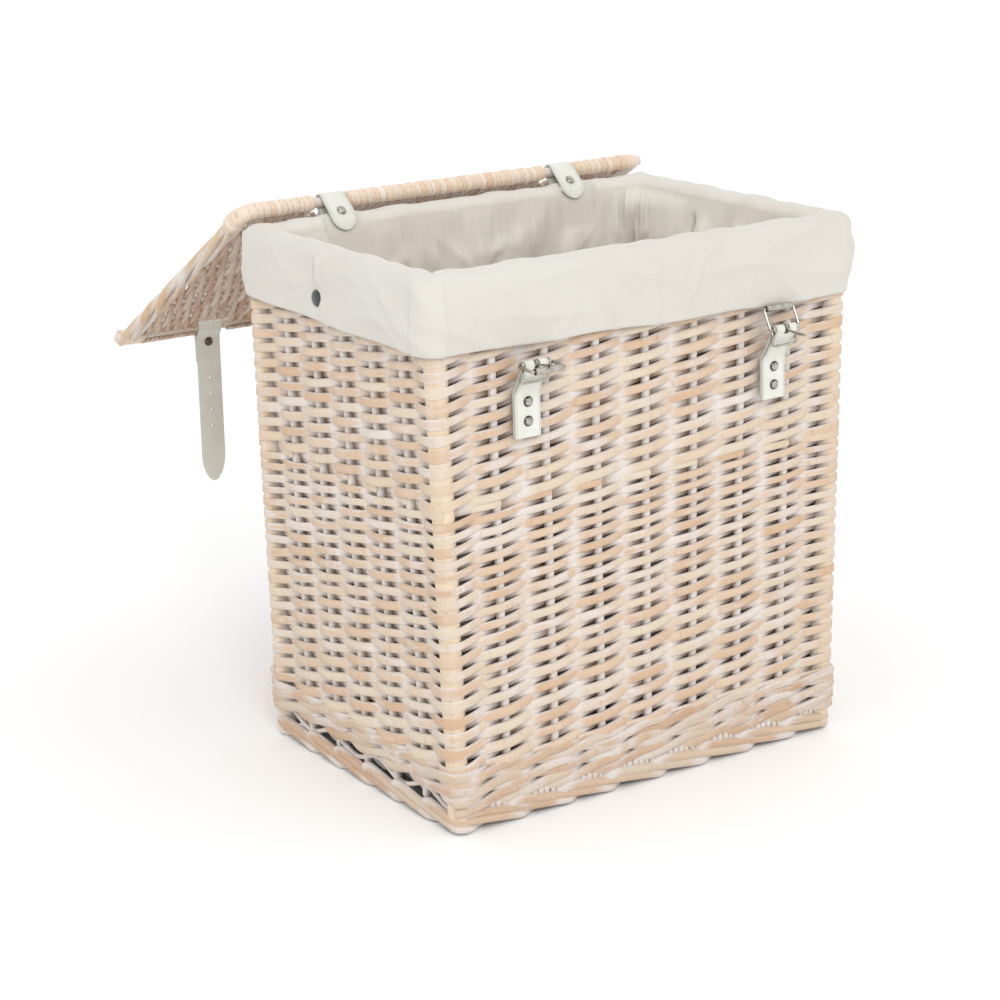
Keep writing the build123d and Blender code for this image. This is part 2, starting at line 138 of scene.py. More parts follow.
class Builder:
    """Collects tubes and sheets into one mesh with four attributes: tint (which rod), crown (0 in the
    recesses, 1 where the rod stands proud; on metal a low crown paints a dark reflection, on leather
    painted shade), a painted-shade attribute (1 where painted shade darkens it most, behind an upright or
    between two turns of a wrap) and grain (along and round the rod, for streaks)."""

    def __init__(self):
        self.co, self.quads, self.caps = [], [], []
        self.tint, self.crown, self.grain, self.painted_shade = [], [], [], []
        self.count = 0

    def grid(self, co, tint, crown, grain, wrap=True, painted_shade=0.0):
        """A grid of points (rows, columns, 3); wrap joins the last column to the first."""
        n, m = co.shape[:2]
        index = self.count + np.arange(n * m).reshape(n, m)
        right = np.roll(index, -1, axis=1) if wrap else index[:, 1:]
        left = index if wrap else index[:, :-1]
        quads = np.stack([left[:-1], right[:-1], right[1:], left[1:]], -1).reshape(-1, 4)
        self.quads.append(quads)
        self.co.append(co.reshape(-1, 3))
        self.tint.append(np.broadcast_to(tint, (n, m)).reshape(-1))
        self.crown.append(np.broadcast_to(crown, (n, m)).reshape(-1))
        self.painted_shade.append(np.broadcast_to(painted_shade, (n, m)).reshape(-1))
        self.grain.append(grain.reshape(-1, 3))
        self.count += n * m
        return index

    def tube(self, centre, outward, deep, wide, tint=0.5, crown=1.0, ring=12, square=0.85, painted_shade=0.0):
        """A rod along centre, with radius deep along outward and wide across it, with rounded ends."""
        n = len(centre)
        deep = np.broadcast_to(np.asarray(deep, float), (n,))
        wide = np.broadcast_to(np.asarray(wide, float), (n,))
        crown = np.broadcast_to(np.asarray(crown, float), (n,))
        tint = np.broadcast_to(np.asarray(tint, float), (n,))
        tangent = unit(np.gradient(centre, axis=0))
        side = unit(np.cross(tangent, outward))
        out = np.cross(side, tangent)
        grow = np.array([0.55, 0.88])      # two smaller rings round off each end
        back = np.array([0.42, 0.18])
        first = centre[0] - tangent[0] * (wide[0] * back)[:, None]
        last = centre[-1] + tangent[-1] * (wide[-1] * back[::-1])[:, None]
        centre = np.concatenate([first, centre, last])
        pick = np.concatenate([[0, 0], np.arange(n), [n - 1, n - 1]])
        scale = np.concatenate([grow, np.ones(n), grow[::-1]])
        angle = np.linspace(0, 2 * np.pi, ring, endpoint=False)
        lift = np.sign(np.cos(angle)) * np.abs(np.cos(angle)) ** square
        spread = np.sign(np.sin(angle)) * np.abs(np.sin(angle)) ** square
        co = (centre[:, None]
              + out[pick][:, None] * (deep[pick] * scale)[:, None, None] * lift[None, :, None]
              + side[pick][:, None] * (wide[pick] * scale)[:, None, None] * spread[None, :, None])
        length = np.concatenate([[0], np.cumsum(np.linalg.norm(np.diff(centre, axis=0), axis=1))])
        facing = 0.5 + 0.5 * np.cos(angle)
        grain = np.zeros(co.shape)
        grain[..., 0] = length[:, None]
        grain[..., 1] = np.abs(angle / np.pi - 1)[None, :] * 4 * MM
        grain[..., 2] = tint[pick][:, None] * 3.7
        painted_shade = np.broadcast_to(painted_shade, (n,))[pick][:, None]
        crown = crown[pick][:, None] * facing[None, :]
        self.closed(self.grid(co, tint[pick][:, None], crown, grain, painted_shade=painted_shade))

    def closed(self, index):
        """Closes both ends of a grid that goes round."""
        self.caps.append(list(index[0][::-1]))
        self.caps.append(list(index[-1]))

    def build(self, name, body, look, hides):
        """Makes the piece that rides on a body, wears the material of a look (slot, material) and stands
        for a node.
        """
        mesh = bpy.data.meshes.new(name)
        faces = np.concatenate(self.quads).tolist() + [[int(i) for i in cap] for cap in self.caps]
        mesh.from_pydata(np.concatenate(self.co).tolist(), [], faces)
        mesh.validate()
        for key, kind, data in (("tint", "FLOAT", self.tint), ("crown", "FLOAT", self.crown),
                                ("painted_shade", "FLOAT", self.painted_shade), ("grain", "FLOAT_VECTOR", self.grain)):
            layer = mesh.attributes.new(key, kind, "POINT")
            layer.data.foreach_set("vector" if kind == "FLOAT_VECTOR" else "value",
                                   np.concatenate(data).astype(np.float32).ravel())
        mesh.shade_smooth()
        piece = bpy.data.objects.new(name, mesh)
        bpy.context.scene.collection.objects.link(piece)
        slot, material = look
        mesh.materials.append(material)
        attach(piece, body)
        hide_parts(hides)
        return piece


# Materials -------------------------------------------------------------------------------------------

class Shader:
    """A Principled material and short ways to add nodes to it."""

    def __init__(self, name, **sockets):
        self.material = bpy.data.materials.new(name)
        self.material.use_nodes = True
        self.tree = self.material.node_tree
        self.bsdf = self.tree.nodes["Principled BSDF"]
        for key, value in sockets.items():
            self.bsdf.inputs[key.replace("_", " ")].default_value = value

    def node(self, kind, inputs=(), **settings):
        made = self.tree.nodes.new("ShaderNode" + kind)
        for key, value in settings.items():
            setattr(made, key, value)
        for key, value in dict(inputs).items():
            if isinstance(value, bpy.types.NodeSocket):
                self.tree.links.new(value, made.inputs[key])
            else:
                made.inputs[key].default_value = value
        return made

    def attribute(self, name, output="Fac"):
        return self.node("Attribute", attribute_name=name).outputs[output]

    def position(self):
        return self.node("TexCoord").outputs["Object"]

    def scaled(self, vector, scale):
        return self.node("Mapping", {"Vector": vector, "Scale": scale}).outputs[0]

    def noise(self, vector, scale, detail=3.0, roughness=0.5):
        made = self.node("TexNoise", {"Vector": vector, "Scale": scale, "Detail": detail,
                                      "Roughness": roughness})
        return made.outputs["Fac"]

    def math(self, operation, a, b):
        return self.node("Math", {0: a, 1: b}, operation=operation).outputs[0]

    def span(self, value, low, high, to_low=0.0, to_high=1.0):
        made = self.node("MapRange", {"Value": value, "From Min": low, "From Max": high,
                                      "To Min": to_low, "To Max": to_high})
        return made.outputs["Result"]

    def mix(self, factor, a, b, blend="MIX"):
        a, b = (c if isinstance(c, bpy.types.NodeSocket) else (*c, 1.0) for c in (a, b))
        return self.node("Mix", {0: factor, 6: a, 7: b}, data_type="RGBA", blend_type=blend).outputs[2]

    def ramp(self, value, stops):
        made = self.node("ValToRGB", {"Fac": value})
        while len(made.color_ramp.elements) < len(stops):
            made.color_ramp.elements.new(0.5)
        for element, (where, colour) in zip(made.color_ramp.elements, stops):
            element.position = where
            element.color = (*colour, 1.0)
        return made.outputs["Color"]

    def link(self, output, socket):
        self.tree.links.new(output, self.bsdf.inputs[socket])

    def bump(self, height, strength, distance):
        made = self.node("Bump", {"Height": height, "Strength": strength, "Distance": distance})
        self.link(made.outputs[0], "Normal")


def srgb(r, g, b):
    """A colour given in 0 to 255 display values."""
    return tuple(((c / 255 + 0.055) / 1.055) ** 2.4 if c > 10 else c / 3294.6 for c in (r, g, b))


def willow(name, rod_stops, wash, wash_share, crown_low=0.25, crown_high=0.75):
    """Peeled willow under a thin white wash that has stayed in the recesses."""
    s = Shader(name, Roughness=0.6, Specular_IOR_Level=0.35)
    grain = s.attribute("grain", "Vector")
    streak = s.noise(s.scaled(grain, (26, 420, 1)), 1.0, 4.0, 0.6)
    patch = s.noise(s.scaled(grain, (14, 60, 1)), 1.0, 2.0)
    speck = s.noise(s.scaled(grain, (300, 700, 1)), 1.0, 2.0)
    tone = s.math("ADD", s.attribute("tint"), s.span(patch, 0.3, 0.7, -0.22, 0.22))
    rod = s.ramp(tone, rod_stops)
    rod = s.mix(s.span(streak, 0.35, 0.75, 0.0, 0.35), rod, srgb(225, 200, 178), "MULTIPLY")
    proud = s.span(s.attribute("crown"), crown_low, crown_high)
    mask = s.math("ADD", s.math("SUBTRACT", 1.0, proud), s.span(streak, 0.42, 0.62, -0.35, 0.5))
    mask = s.math("ADD", mask, s.span(patch, 0.35, 0.7, -0.25, wash_share))
    mask = s.math("MULTIPLY", s.math("MAXIMUM", s.math("MINIMUM", mask, 1.0), 0.0), 0.86)
    colour = s.mix(mask, rod, wash)
    colour = s.mix(s.span(speck, 0.6, 0.85, 0.0, 0.4), colour, srgb(150, 112, 84), "MIX")
    # Painted shade: where a stroke passes behind the uprights, or between two turns of a wrap, the colour
    # is darkened towards brown.
    colour = s.mix(s.span(s.attribute("painted_shade"), 0.0, 1.0, 0.0, 0.8), colour, srgb(158, 119, 86))
    s.link(colour, "Base Color")
    s.link(s.span(mask, 0.0, 1.0, 0.5, 0.75), "Roughness")
    height = s.math("ADD", s.math("MULTIPLY", streak, 0.7), s.math("MULTIPLY", speck, 0.3))
    s.bump(height, 0.5, 0.5 * MM)
    return s.material


def willow_look(slot, name, *rods, **wash):
    """A slot and its willow; rods are the colours from the palest rod to the darkest, with where."""
    return slot, willow("willow_" + name, rods, **wash)


PALE = srgb(213, 200, 180)
PEACH = srgb(211, 189, 166)
WASH = srgb(219, 213, 209)
body_willow = willow_look("willow", "body", (0.0, PALE), (0.4, PEACH), (1.0, srgb(203, 173, 144)),
                          wash=WASH, wash_share=0.42, crown_low=0.46, crown_high=0.86)
# A darker copy of the body willow, painted shade for the bottom of the wall; the waling and both borders
# wear it.
foot_willow_shaded = willow_look("willow", "foot", (0.0, srgb(204, 192, 174)), (0.4, srgb(201, 177, 153)),
                          (1.0, srgb(189, 157, 128)),
                          wash=srgb(213, 207, 203), wash_share=0.5, crown_low=0.5, crown_high=0.88)
stake_willow = willow_look("willow_rod", "stake", (0.0, PALE), (1.0, PEACH),
                           wash=srgb(214, 208, 204), wash_share=0.9)
post_willow = willow_look("willow_rod", "post", (0.0, srgb(222, 203, 176)), (1.0, srgb(214, 188, 158)),
                          wash=WASH, wash_share=0.2, crown_low=0.2, crown_high=0.6)
skein_willow = willow_look("willow_skein", "skein", (0.0, srgb(234, 222, 208)), (0.5, srgb(231, 211, 191)),
                           (1.0, srgb(222, 195, 166)),
                           wash=WASH, wash_share=0.1, crown_low=0.1, crown_high=0.5)
lid_willow = willow_look("willow", "lid", (0.0, srgb(206, 190, 173)), (0.6, srgb(194, 168, 148)),
                         (1.0, srgb(178, 145, 120)),
                         wash=srgb(208, 198, 190), wash_share=0.05, crown_low=0.15, crown_high=0.6)
edge_willow = willow_look("willow", "edge", (0.0, PALE), (0.5, srgb(208, 182, 150)),
                          (1.0, srgb(200, 166, 130)),
                          wash=WASH, wash_share=0.4, crown_low=0.4, crown_high=0.85)


def cotton():
    """Off-white plain-weave cotton."""
    s = Shader("cotton", Roughness=0.9, Sheen_Weight=0.25, Sheen_Roughness=0.5, Specular_IOR_Level=0.2)
    at = s.position()
    threads = []
    for turn in ((0, 0, 0), (0, 0, 90), (0, 90, 0)):
        angles = tuple(math.radians(a) for a in turn)
        spun = s.node("Mapping", {"Vector": at, "Rotation": angles}).outputs[0]
        wave = s.node("TexWave", {"Vector": spun, "Scale": 320.0, "Distortion": 1.6, "Detail": 1.0})
        threads.append(wave.outputs["Fac"])
    weave = s.math("ADD", s.math("ADD", threads[0], threads[1]), threads[2])
    blotch = s.noise(at, 9.0, 3.0)
    slub = s.noise(s.scaled(at, (90, 90, 700)), 1.0, 2.0)
    colour = s.mix(s.span(blotch, 0.35, 0.65), srgb(206, 203, 196), srgb(203, 199, 191))
    # Painted light: the inside of the lining is painted lighter and warmer than the cuff, for the light
    # bounced inside.
    inner = s.mix(s.span(blotch, 0.35, 0.65), srgb(217, 211, 202), srgb(212, 204, 193))
    colour = s.mix(s.attribute("crown"), inner, colour)
    colour = s.mix(s.span(slub, 0.62, 0.8, 0.0, 0.25), colour, srgb(190, 185, 176))
    s.link(colour, "Base Color")
    crumple = s.noise(at, 46.0, 4.0, 0.55)
    height = s.math("ADD", s.math("MULTIPLY", weave, 0.08), s.math("MULTIPLY", crumple, 2.2))
    s.bump(height, 0.35, 1.0 * MM)
    return s.material


def leather(name, light, dark):
    """Smooth pale leather with a fine pebbled grain."""
    s = Shader(name, Roughness=0.48, Specular_IOR_Level=0.45)
    at = s.position()
    cells = s.node("TexVoronoi", {"Vector": at, "Scale": 900.0}).outputs["Distance"]
    wrinkles = s.noise(s.scaled(at, (60, 60, 240)), 1.0, 4.0)
    tone = s.noise(at, 40.0, 3.0)
    # Painted shade: a low crown darkens the strip's rounded edges and its pressed crease.
    painted_edge_shade = tuple(c * 0.55 for c in dark)
    colour = s.mix(s.span(tone, 0.3, 0.7), light, dark)
    s.link(s.mix(s.span(s.attribute("crown"), 0.0, 1.0, 0.75, 0.0), colour, painted_edge_shade), "Base Color")
    s.link(s.span(wrinkles, 0.3, 0.7, 0.4, 0.6), "Roughness")
    s.bump(s.math("ADD", s.math("MULTIPLY", cells, 0.6), wrinkles), 0.3, 0.4 * MM)
    return s.material


def metal(name, colour, roughness):
    """Smeared and scratched metal, darkened where the crown is low, which paints the rivets' dark
    reflection.
    """
    s = Shader(name, Metallic=1.0, Roughness=roughness)
    at = s.position()
    smear = s.noise(at, 220.0, 3.0)
    scratch = s.noise(s.scaled(at, (60, 900, 900)), 1.0, 2.0)
    bright = s.mix(s.span(smear, 0.35, 0.7), colour, tuple(c * 0.6 for c in colour))
    # Painted dark reflection on the rivets: a low crown takes the colour down to 0.12 of itself.
    s.link(s.mix(s.attribute("crown"), tuple(c * 0.12 for c in colour), bright), "Base Color")
    s.link(s.span(scratch, 0.3, 0.8, roughness * 0.8, roughness * 1.6), "Roughness")
    s.bump(scratch, 0.08, 0.1 * MM)
    return s.material


cotton_cloth = "cotton", cotton()
cream_leather = "leather", leather("leather_cream", srgb(219, 220, 212), srgb(212, 212, 202))
nickel = "nickel", metal("nickel", srgb(196, 193, 184), 0.12)
old_nickel = "nickel", metal("nickel_old", srgb(120, 106, 94), 0.4)


def black_enamel():
    s = Shader("stud_black", Roughness=0.3, Coat_Weight=0.4, Coat_Roughness=0.2)
    tone = s.noise(s.position(), 300.0, 3.0)
    s.link(s.mix(s.span(tone, 0.3, 0.7), srgb(24, 27, 29), srgb(44, 48, 49)), "Base Color")
    s.bump(tone, 0.1, 0.2 * MM)
    return s.material


stud_black = "stud_black", black_enamel()


# Body weave ------------------------------------------------------------------------------------------

def with_corners(knots, values, at):
    """Adds knots that keep a weaver close round a corner post, or inside it, before it goes on."""
    more_knots, more_values = list(knots), list(values)
    for i, t in enumerate(knots):
        if at[i] not in CORNERS:
            continue
        for way in (-1, 1):
            if 0 <= i + way < len(knots):
                more_knots += [t + way * TURN]
                more_values += [values[i]]
    order = np.argsort(more_knots)
    return np.array(more_knots)[order], np.array(more_values)[order]


BEHIND = -4.1 * MM         # a stroke's middle where it passes inside the uprights' line


def varied(rng, knots, t, mean, spread):
    """A value that wanders a little from knot to knot."""
    return eased(knots, rng.normal(mean, spread, len(knots)), t)


def siding(name, low, high, pitch_low, pitch_high, seed, hides):
    """French randing: one weaver from each upright, in front of one and behind the next, rising one
    pitch in two spaces, so that every upright shows one stroke in each pitch."""
    rng = np.random.default_rng(seed)
    b = Builder()
    steps = int(round(4 * (high - low) / (pitch_low + pitch_high)))
    t = np.linspace(0, steps, steps * STEP + 1)
    knots = np.arange(steps + 1)
    pitch = pitch_low + (pitch_high - pitch_low) * t / steps
    climb = (pitch_low * t + (pitch_high - pitch_low) * t * t / (2 * steps)) / 2
    climb = climb * (high - low) / climb[-1]
    pitch_k = pitch_low + (pitch_high - pitch_low) * knots / steps
    for s in range(UPRIGHTS):
        at = (s + knots) % UPRIGHTS
        size = rng.normal(1, 0.05)
        corner = np.isin(at, CORNERS)
        deep_k = np.where(corner, 1.2 * MM, 0.19 * pitch_k * size * rng.normal(1, 0.06, len(knots)))
        front = knots % 2 == 1
        proud = np.where(corner, POST_R + 0.6 * MM, STAKE_R + deep_k)
        offset_k = np.where(front, proud, BEHIND) + rng.normal(0, 0.3 * MM, len(knots)) * ~corner
        offset = eased(*with_corners(knots, offset_k, at), t, 0.35)
        z = low + climb + varied(rng, knots, t, 0, 0.5 * MM)
        inward = smooth(0.5 - offset / (12 * MM))
        nearest = np.round(t)
        round_post = np.isin(np.mod(s + nearest, UPRIGHTS), CORNERS)
        round_post = round_post * smooth((0.2 - np.abs(t - nearest)) / 0.12)
        shape = 0.3 + 0.09 * inward + 0.1 * round_post * (1 - inward)
        wide = pitch * shape * size * varied(rng, knots, t, 1, 0.05)
        points, out = wall_point(s + t, z, offset)
        crown_k = rng.uniform(0.8, 1.0, len(knots))
        crown = eased(knots, crown_k, t) * (0.45 + 0.55 * smooth((offset + 1.5 * MM) / (5 * MM)))
        tint = np.clip(rng.uniform(0.05, 0.95) + varied(rng, knots, t, 0, 0.2), 0, 1)
        # Painted shade on the parts of a stroke that pass behind the uprights' line.
        behind = 0.85 * smooth((-offset - 1 * MM) / (3.4 * MM))
        b.tube(points, out, eased(knots, deep_k, t), wide, tint, crown, square=0.68, painted_shade=behind)
    return b.build(name, "root", body_willow, hides)


def waling(name, low, high, rows, seed, hides):
    """Three-rod waling: each rod passes in front of two uprights and behind the next."""
    rng = np.random.default_rng(seed)
    b = Builder()
    row = (high - low) / (rows + 0.5)
    steps = rows * UPRIGHTS + CORNERS[3]
    t = np.linspace(0, steps, steps * 8 + 1)
    knots = np.arange(steps + 1)
    for s in range(3):
        phase = (knots - s) % 3
        at = knots % UPRIGHTS
        upright = np.where(np.isin(at, CORNERS), POST_R - 1.0 * MM, STAKE_R)
        deep = 2.7 * MM * rng.normal(1, 0.05, len(knots))
        offset_k = np.where(phase == 0, -3.6 * MM, upright + deep + np.where(phase == 2, 0.7, 0.1) * MM)
        lift_k = np.choose(phase, [0.0, -0.25, 0.25]) * row + rng.normal(0, 0.3 * MM, len(knots))
        z = low + row * 0.5 + row * t / UPRIGHTS * (rows - 0.5) / rows + eased(knots, lift_k, t)
        wide = row * 0.27 * varied(rng, knots, t, 1, 0.06)
        points, out = wall_point(t, z, eased(knots, offset_k, t))
        crown = eased(knots, (phase > 0) * rng.uniform(0.75, 1.0, len(knots)), t)
        tint = np.clip(0.3 + 0.2 * s + varied(rng, knots, t, 0, 0.25), 0, 1)
        b.tube(points, out, eased(knots, deep, t), wide, tint, crown)
    return b.build(name, "root", foot_willow_shaded, hides)


def border(name, top, bottom, reach, radius, bulge, tuck, start_drop, seed, hides):
    """A border of the stake ends: each starts inside, slants down across the outside over its
    neighbours and is tucked back inside."""
    rng = np.random.default_rng(seed)
    b = Builder()
    for k in range(UPRIGHTS):
        t = np.linspace(0, 1, 48)
        u = k - 0.2 + (reach + 0.45) * t + rng.normal(0, 0.03)
        size = radius * rng.normal(1, 0.05)
        fall = np.clip((t - 0.06) / 0.86, 0, 1)
        z = top - size - (top - bottom - 2 * size) * fall + 0.4 * MM * np.sin(9 * t + k)
        z = z - start_drop * (1 - smooth(t / 0.16))
        inside = -INSET + tuck
        rise = smooth(t / 0.12) * smooth((1 - t) / 0.12)
        offset = inside + (bulge - inside) * rise
        points, out = wall_point(u, np.maximum(z, bottom + size), offset)
        crown = 0.35 + 0.65 * smooth((t - 0.05) / 0.2) * smooth((0.95 - t) / 0.3)
        b.tube(points, out, size * 0.92, size * (1.0 - 0.12 * t), rng.uniform(0.1, 0.9), crown)
    return b.build(name, "root", foot_willow_shaded, hides)


BASE_STICKS = 6


def base_weave():
    """The woven base: rods across the depth, over and under the base sticks, their cut ends showing
    in the dark line above the foot."""
    rng = np.random.default_rng(5)
    b = Builder()
    sticks_low, sticks_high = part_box("base_sticks")
    stick_y = np.linspace(sticks_low.y + 4 * MM, sticks_high.y - 4 * MM, BASE_STICKS)
    pitch = stick_y[1] - stick_y[0]
    middle = (sticks_low.z + sticks_high.z) / 2
    reach = half_depth(base_low.z) - 5 * MM
    x_reach = half_width(base_low.z) - 6 * MM
    gap = 6.6 * MM
    n = int(2 * x_reach / gap)
    for i in range(n):
        x = -x_reach + gap * (i + 0.5) + rng.normal(0, 0.3 * MM)
        y = np.linspace(-reach, reach, 90)
        phase = (y - stick_y[0]) / pitch + i
        wave = 5.6 * MM * np.cos(np.pi * phase)
        edge = smooth((reach - np.abs(y)) / (22 * MM))
        z = (base_low.z + 2.2 * MM) * (1 - edge) + (middle + wave - 0.4 * MM) * edge
        points = np.stack([np.full_like(y, x), y, z], -1)
        out = np.tile([0.0, 0.0, -1.0], (len(y), 1))
        size = 2.6 * MM * rng.normal(1, 0.08)
        deep = size + (1 - edge) * 2.4 * MM
        b.tube(points, out, deep, size * 1.15, rng.uniform(0, 0.5), 0.2 + 0.5 * (wave < 0) * edge, ring=8)
    return b.build("base_weaving", "root", body_willow, "base_weave")


def uprights():
    """The stakes, white with wash, and the thicker corner posts."""
    rng = np.random.default_rng(21)
    stakes, posts = Builder(), Builder()
    for u in range(UPRIGHTS):
        post = u in CORNERS
        t = np.linspace(0, 1, 120)
        start = 8 * MM if post else wale_low.z - 2 * MM
        z = start + (rim_high.z - 14 * MM - start) * t
        wander = 0.4 * MM * np.sin(20 * t + rng.uniform(0, 6))
        points, out = wall_point(np.full_like(t, u), z, 0.0 if post else 1.0 * MM + wander)
        if post:
            out = np.tile(unit(points[0] * [1, 1, 0]), (len(t), 1))
        size = (POST_R if post else 3.8 * MM) * (1 + 0.03 * np.sin(31 * t + u))
        tint = rng.uniform(0, 0.4) + 0.3 * np.sin(9 * t + u) * post
        rods = posts if post else stakes
        rods.tube(points, out, size, size, tint, 1.0 if post else 0.25, ring=16)
    posts.build("corner_post_rods", "root", post_willow, "corner_posts")
    return stakes.build("uprights", "root", stake_willow, "stakes")


siding("siding_lower_weave", wale_high.z - 5 * MM, lower_high.z, 15.4 * MM, 10.6 * MM, 11, "siding_lower")
siding("siding_upper_weave", upper_low.z, upper_high.z + 6 * MM, 14.4 * MM, 12.6 * MM, 12, "siding_upper")
waling("waling_weave", wale_low.z - 3.5 * MM, wale_high.z + 2 * MM, 2, 13, "waling_band")
border("foot_border_weave", foot_high.z + 6.5 * MM, foot_low.z, 2.2, 4.5 * MM, INSET - 4.5 * MM, 9 * MM,
       10 * MM, 14, "foot_border")
border("rim_border_weave", rim_high.z, rim_low.z, 2.3, 3.4 * MM, INSET - 4 * MM, 8 * MM, 0.0, 15,
       "rim_border")
base_weave()
uprights()


def base_rods():
    """The six thick sticks that the base is woven round."""
    rng = np.random.default_rng(23)
    b = Builder()
    low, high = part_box("base_sticks")
    radius = (high.z - low.z) / 2
    x = np.linspace(low.x, high.x, 120)
    for y in np.linspace(low.y + radius, high.y - radius, BASE_STICKS):
        bend = 0.4 * MM * np.sin(16 * x + rng.uniform(0, 6))
        line = np.stack([x, y + bend, 0 * x + (low.z + high.z) / 2], -1)
        size = radius * (0.97 + 0.03 * np.sin(31 * x + rng.uniform(0, 6)))
        b.tube(line, ups(len(x)), size, size, rng.uniform(0, 0.5), 0.15, ring=16, square=1.0)
    return b.build("base_rods", "root", stake_willow, "base_sticks")


base_rods()


# Lining ----------------------------------------------------------------------------------------------

CUFF_R = 13 * MM
HEM_Z = 428 * MM           # the hem of the cuff
HINGE_X = 131 * MM


def outline_columns(side_counts, corner_count):
    """Columns round a rounded rectangle, anticlockwise from the middle of the back: where each lies on
    the inner rectangle (-1 to 1 each way) and its outward direction."""
    base, out = [], []
    for side in range(4):
        along = np.array([np.cos(side * np.pi / 2), np.sin(side * np.pi / 2)])
        normal = np.array([along[1], -along[0]])
        count = side_counts[side % 2]
        for f in np.linspace(-1, 1, count, endpoint=False) + 1 / count:
            base.append(along * f + normal)
            out.append(normal)
        corner = along + normal
        for a in (np.arange(corner_count) + 0.5) / corner_count * np.pi / 2:
            base.append(corner)
            out.append(normal * np.cos(a) + along * np.sin(a))
    return np.array(base), np.array(out)


def waves(rng, length, z, count, low_turns, high_turns, low_z, high_z, total):
    """Soft random folds that close up round the opening. low and high are turns round it, and waves
    per metre of height."""
    result = np.zeros(np.broadcast(length, z).shape)
    for _ in range(count):
        turns = rng.integers(low_turns, high_turns + 1)
        up = rng.uniform(low_z, high_z) * rng.choice([-1, 1])
        result += np.sin(2 * np.pi * (turns * length / total + up * z) + rng.uniform(0, 6.28))
    return result / math.sqrt(count)


def creases(rng, length, z, low_z, high_z, count, total, size):
    """Short soft ridges of slack cloth, most of them slanting."""
    result = np.zeros(np.broadcast(length, z).shape)
    for _ in range(count):
        away = np.mod(length - rng.uniform(0, total) + total / 2, total) - total / 2
        up = z - rng.uniform(low_z, high_z)
        a = math.radians(rng.normal(-40, 32))
        along = away * math.cos(a) + up * math.sin(a)
        across = up * math.cos(a) - away * math.sin(a) + 2.2 * along ** 2 * rng.normal(0, 1)
        long, wide = rng.uniform(22, 60) * MM, rng.uniform(3.2, 6.5) * MM
        result += rng.uniform(0.5, 1.0) * size * np.exp(-(along / long) ** 2) / (1 + (across / wide) ** 2)
    return result


def strap_window(x, y, width):
    """1 where a hinge strap lies, 0 away from it."""
    fall = 12 * MM
    near = np.minimum(np.abs(x - HINGE_X), np.abs(x + HINGE_X))
    return smooth((width + fall - near) / fall) * (y > 0.1)


def hump(x, centre, width):
    return np.exp(-((x - centre) / width) ** 2)


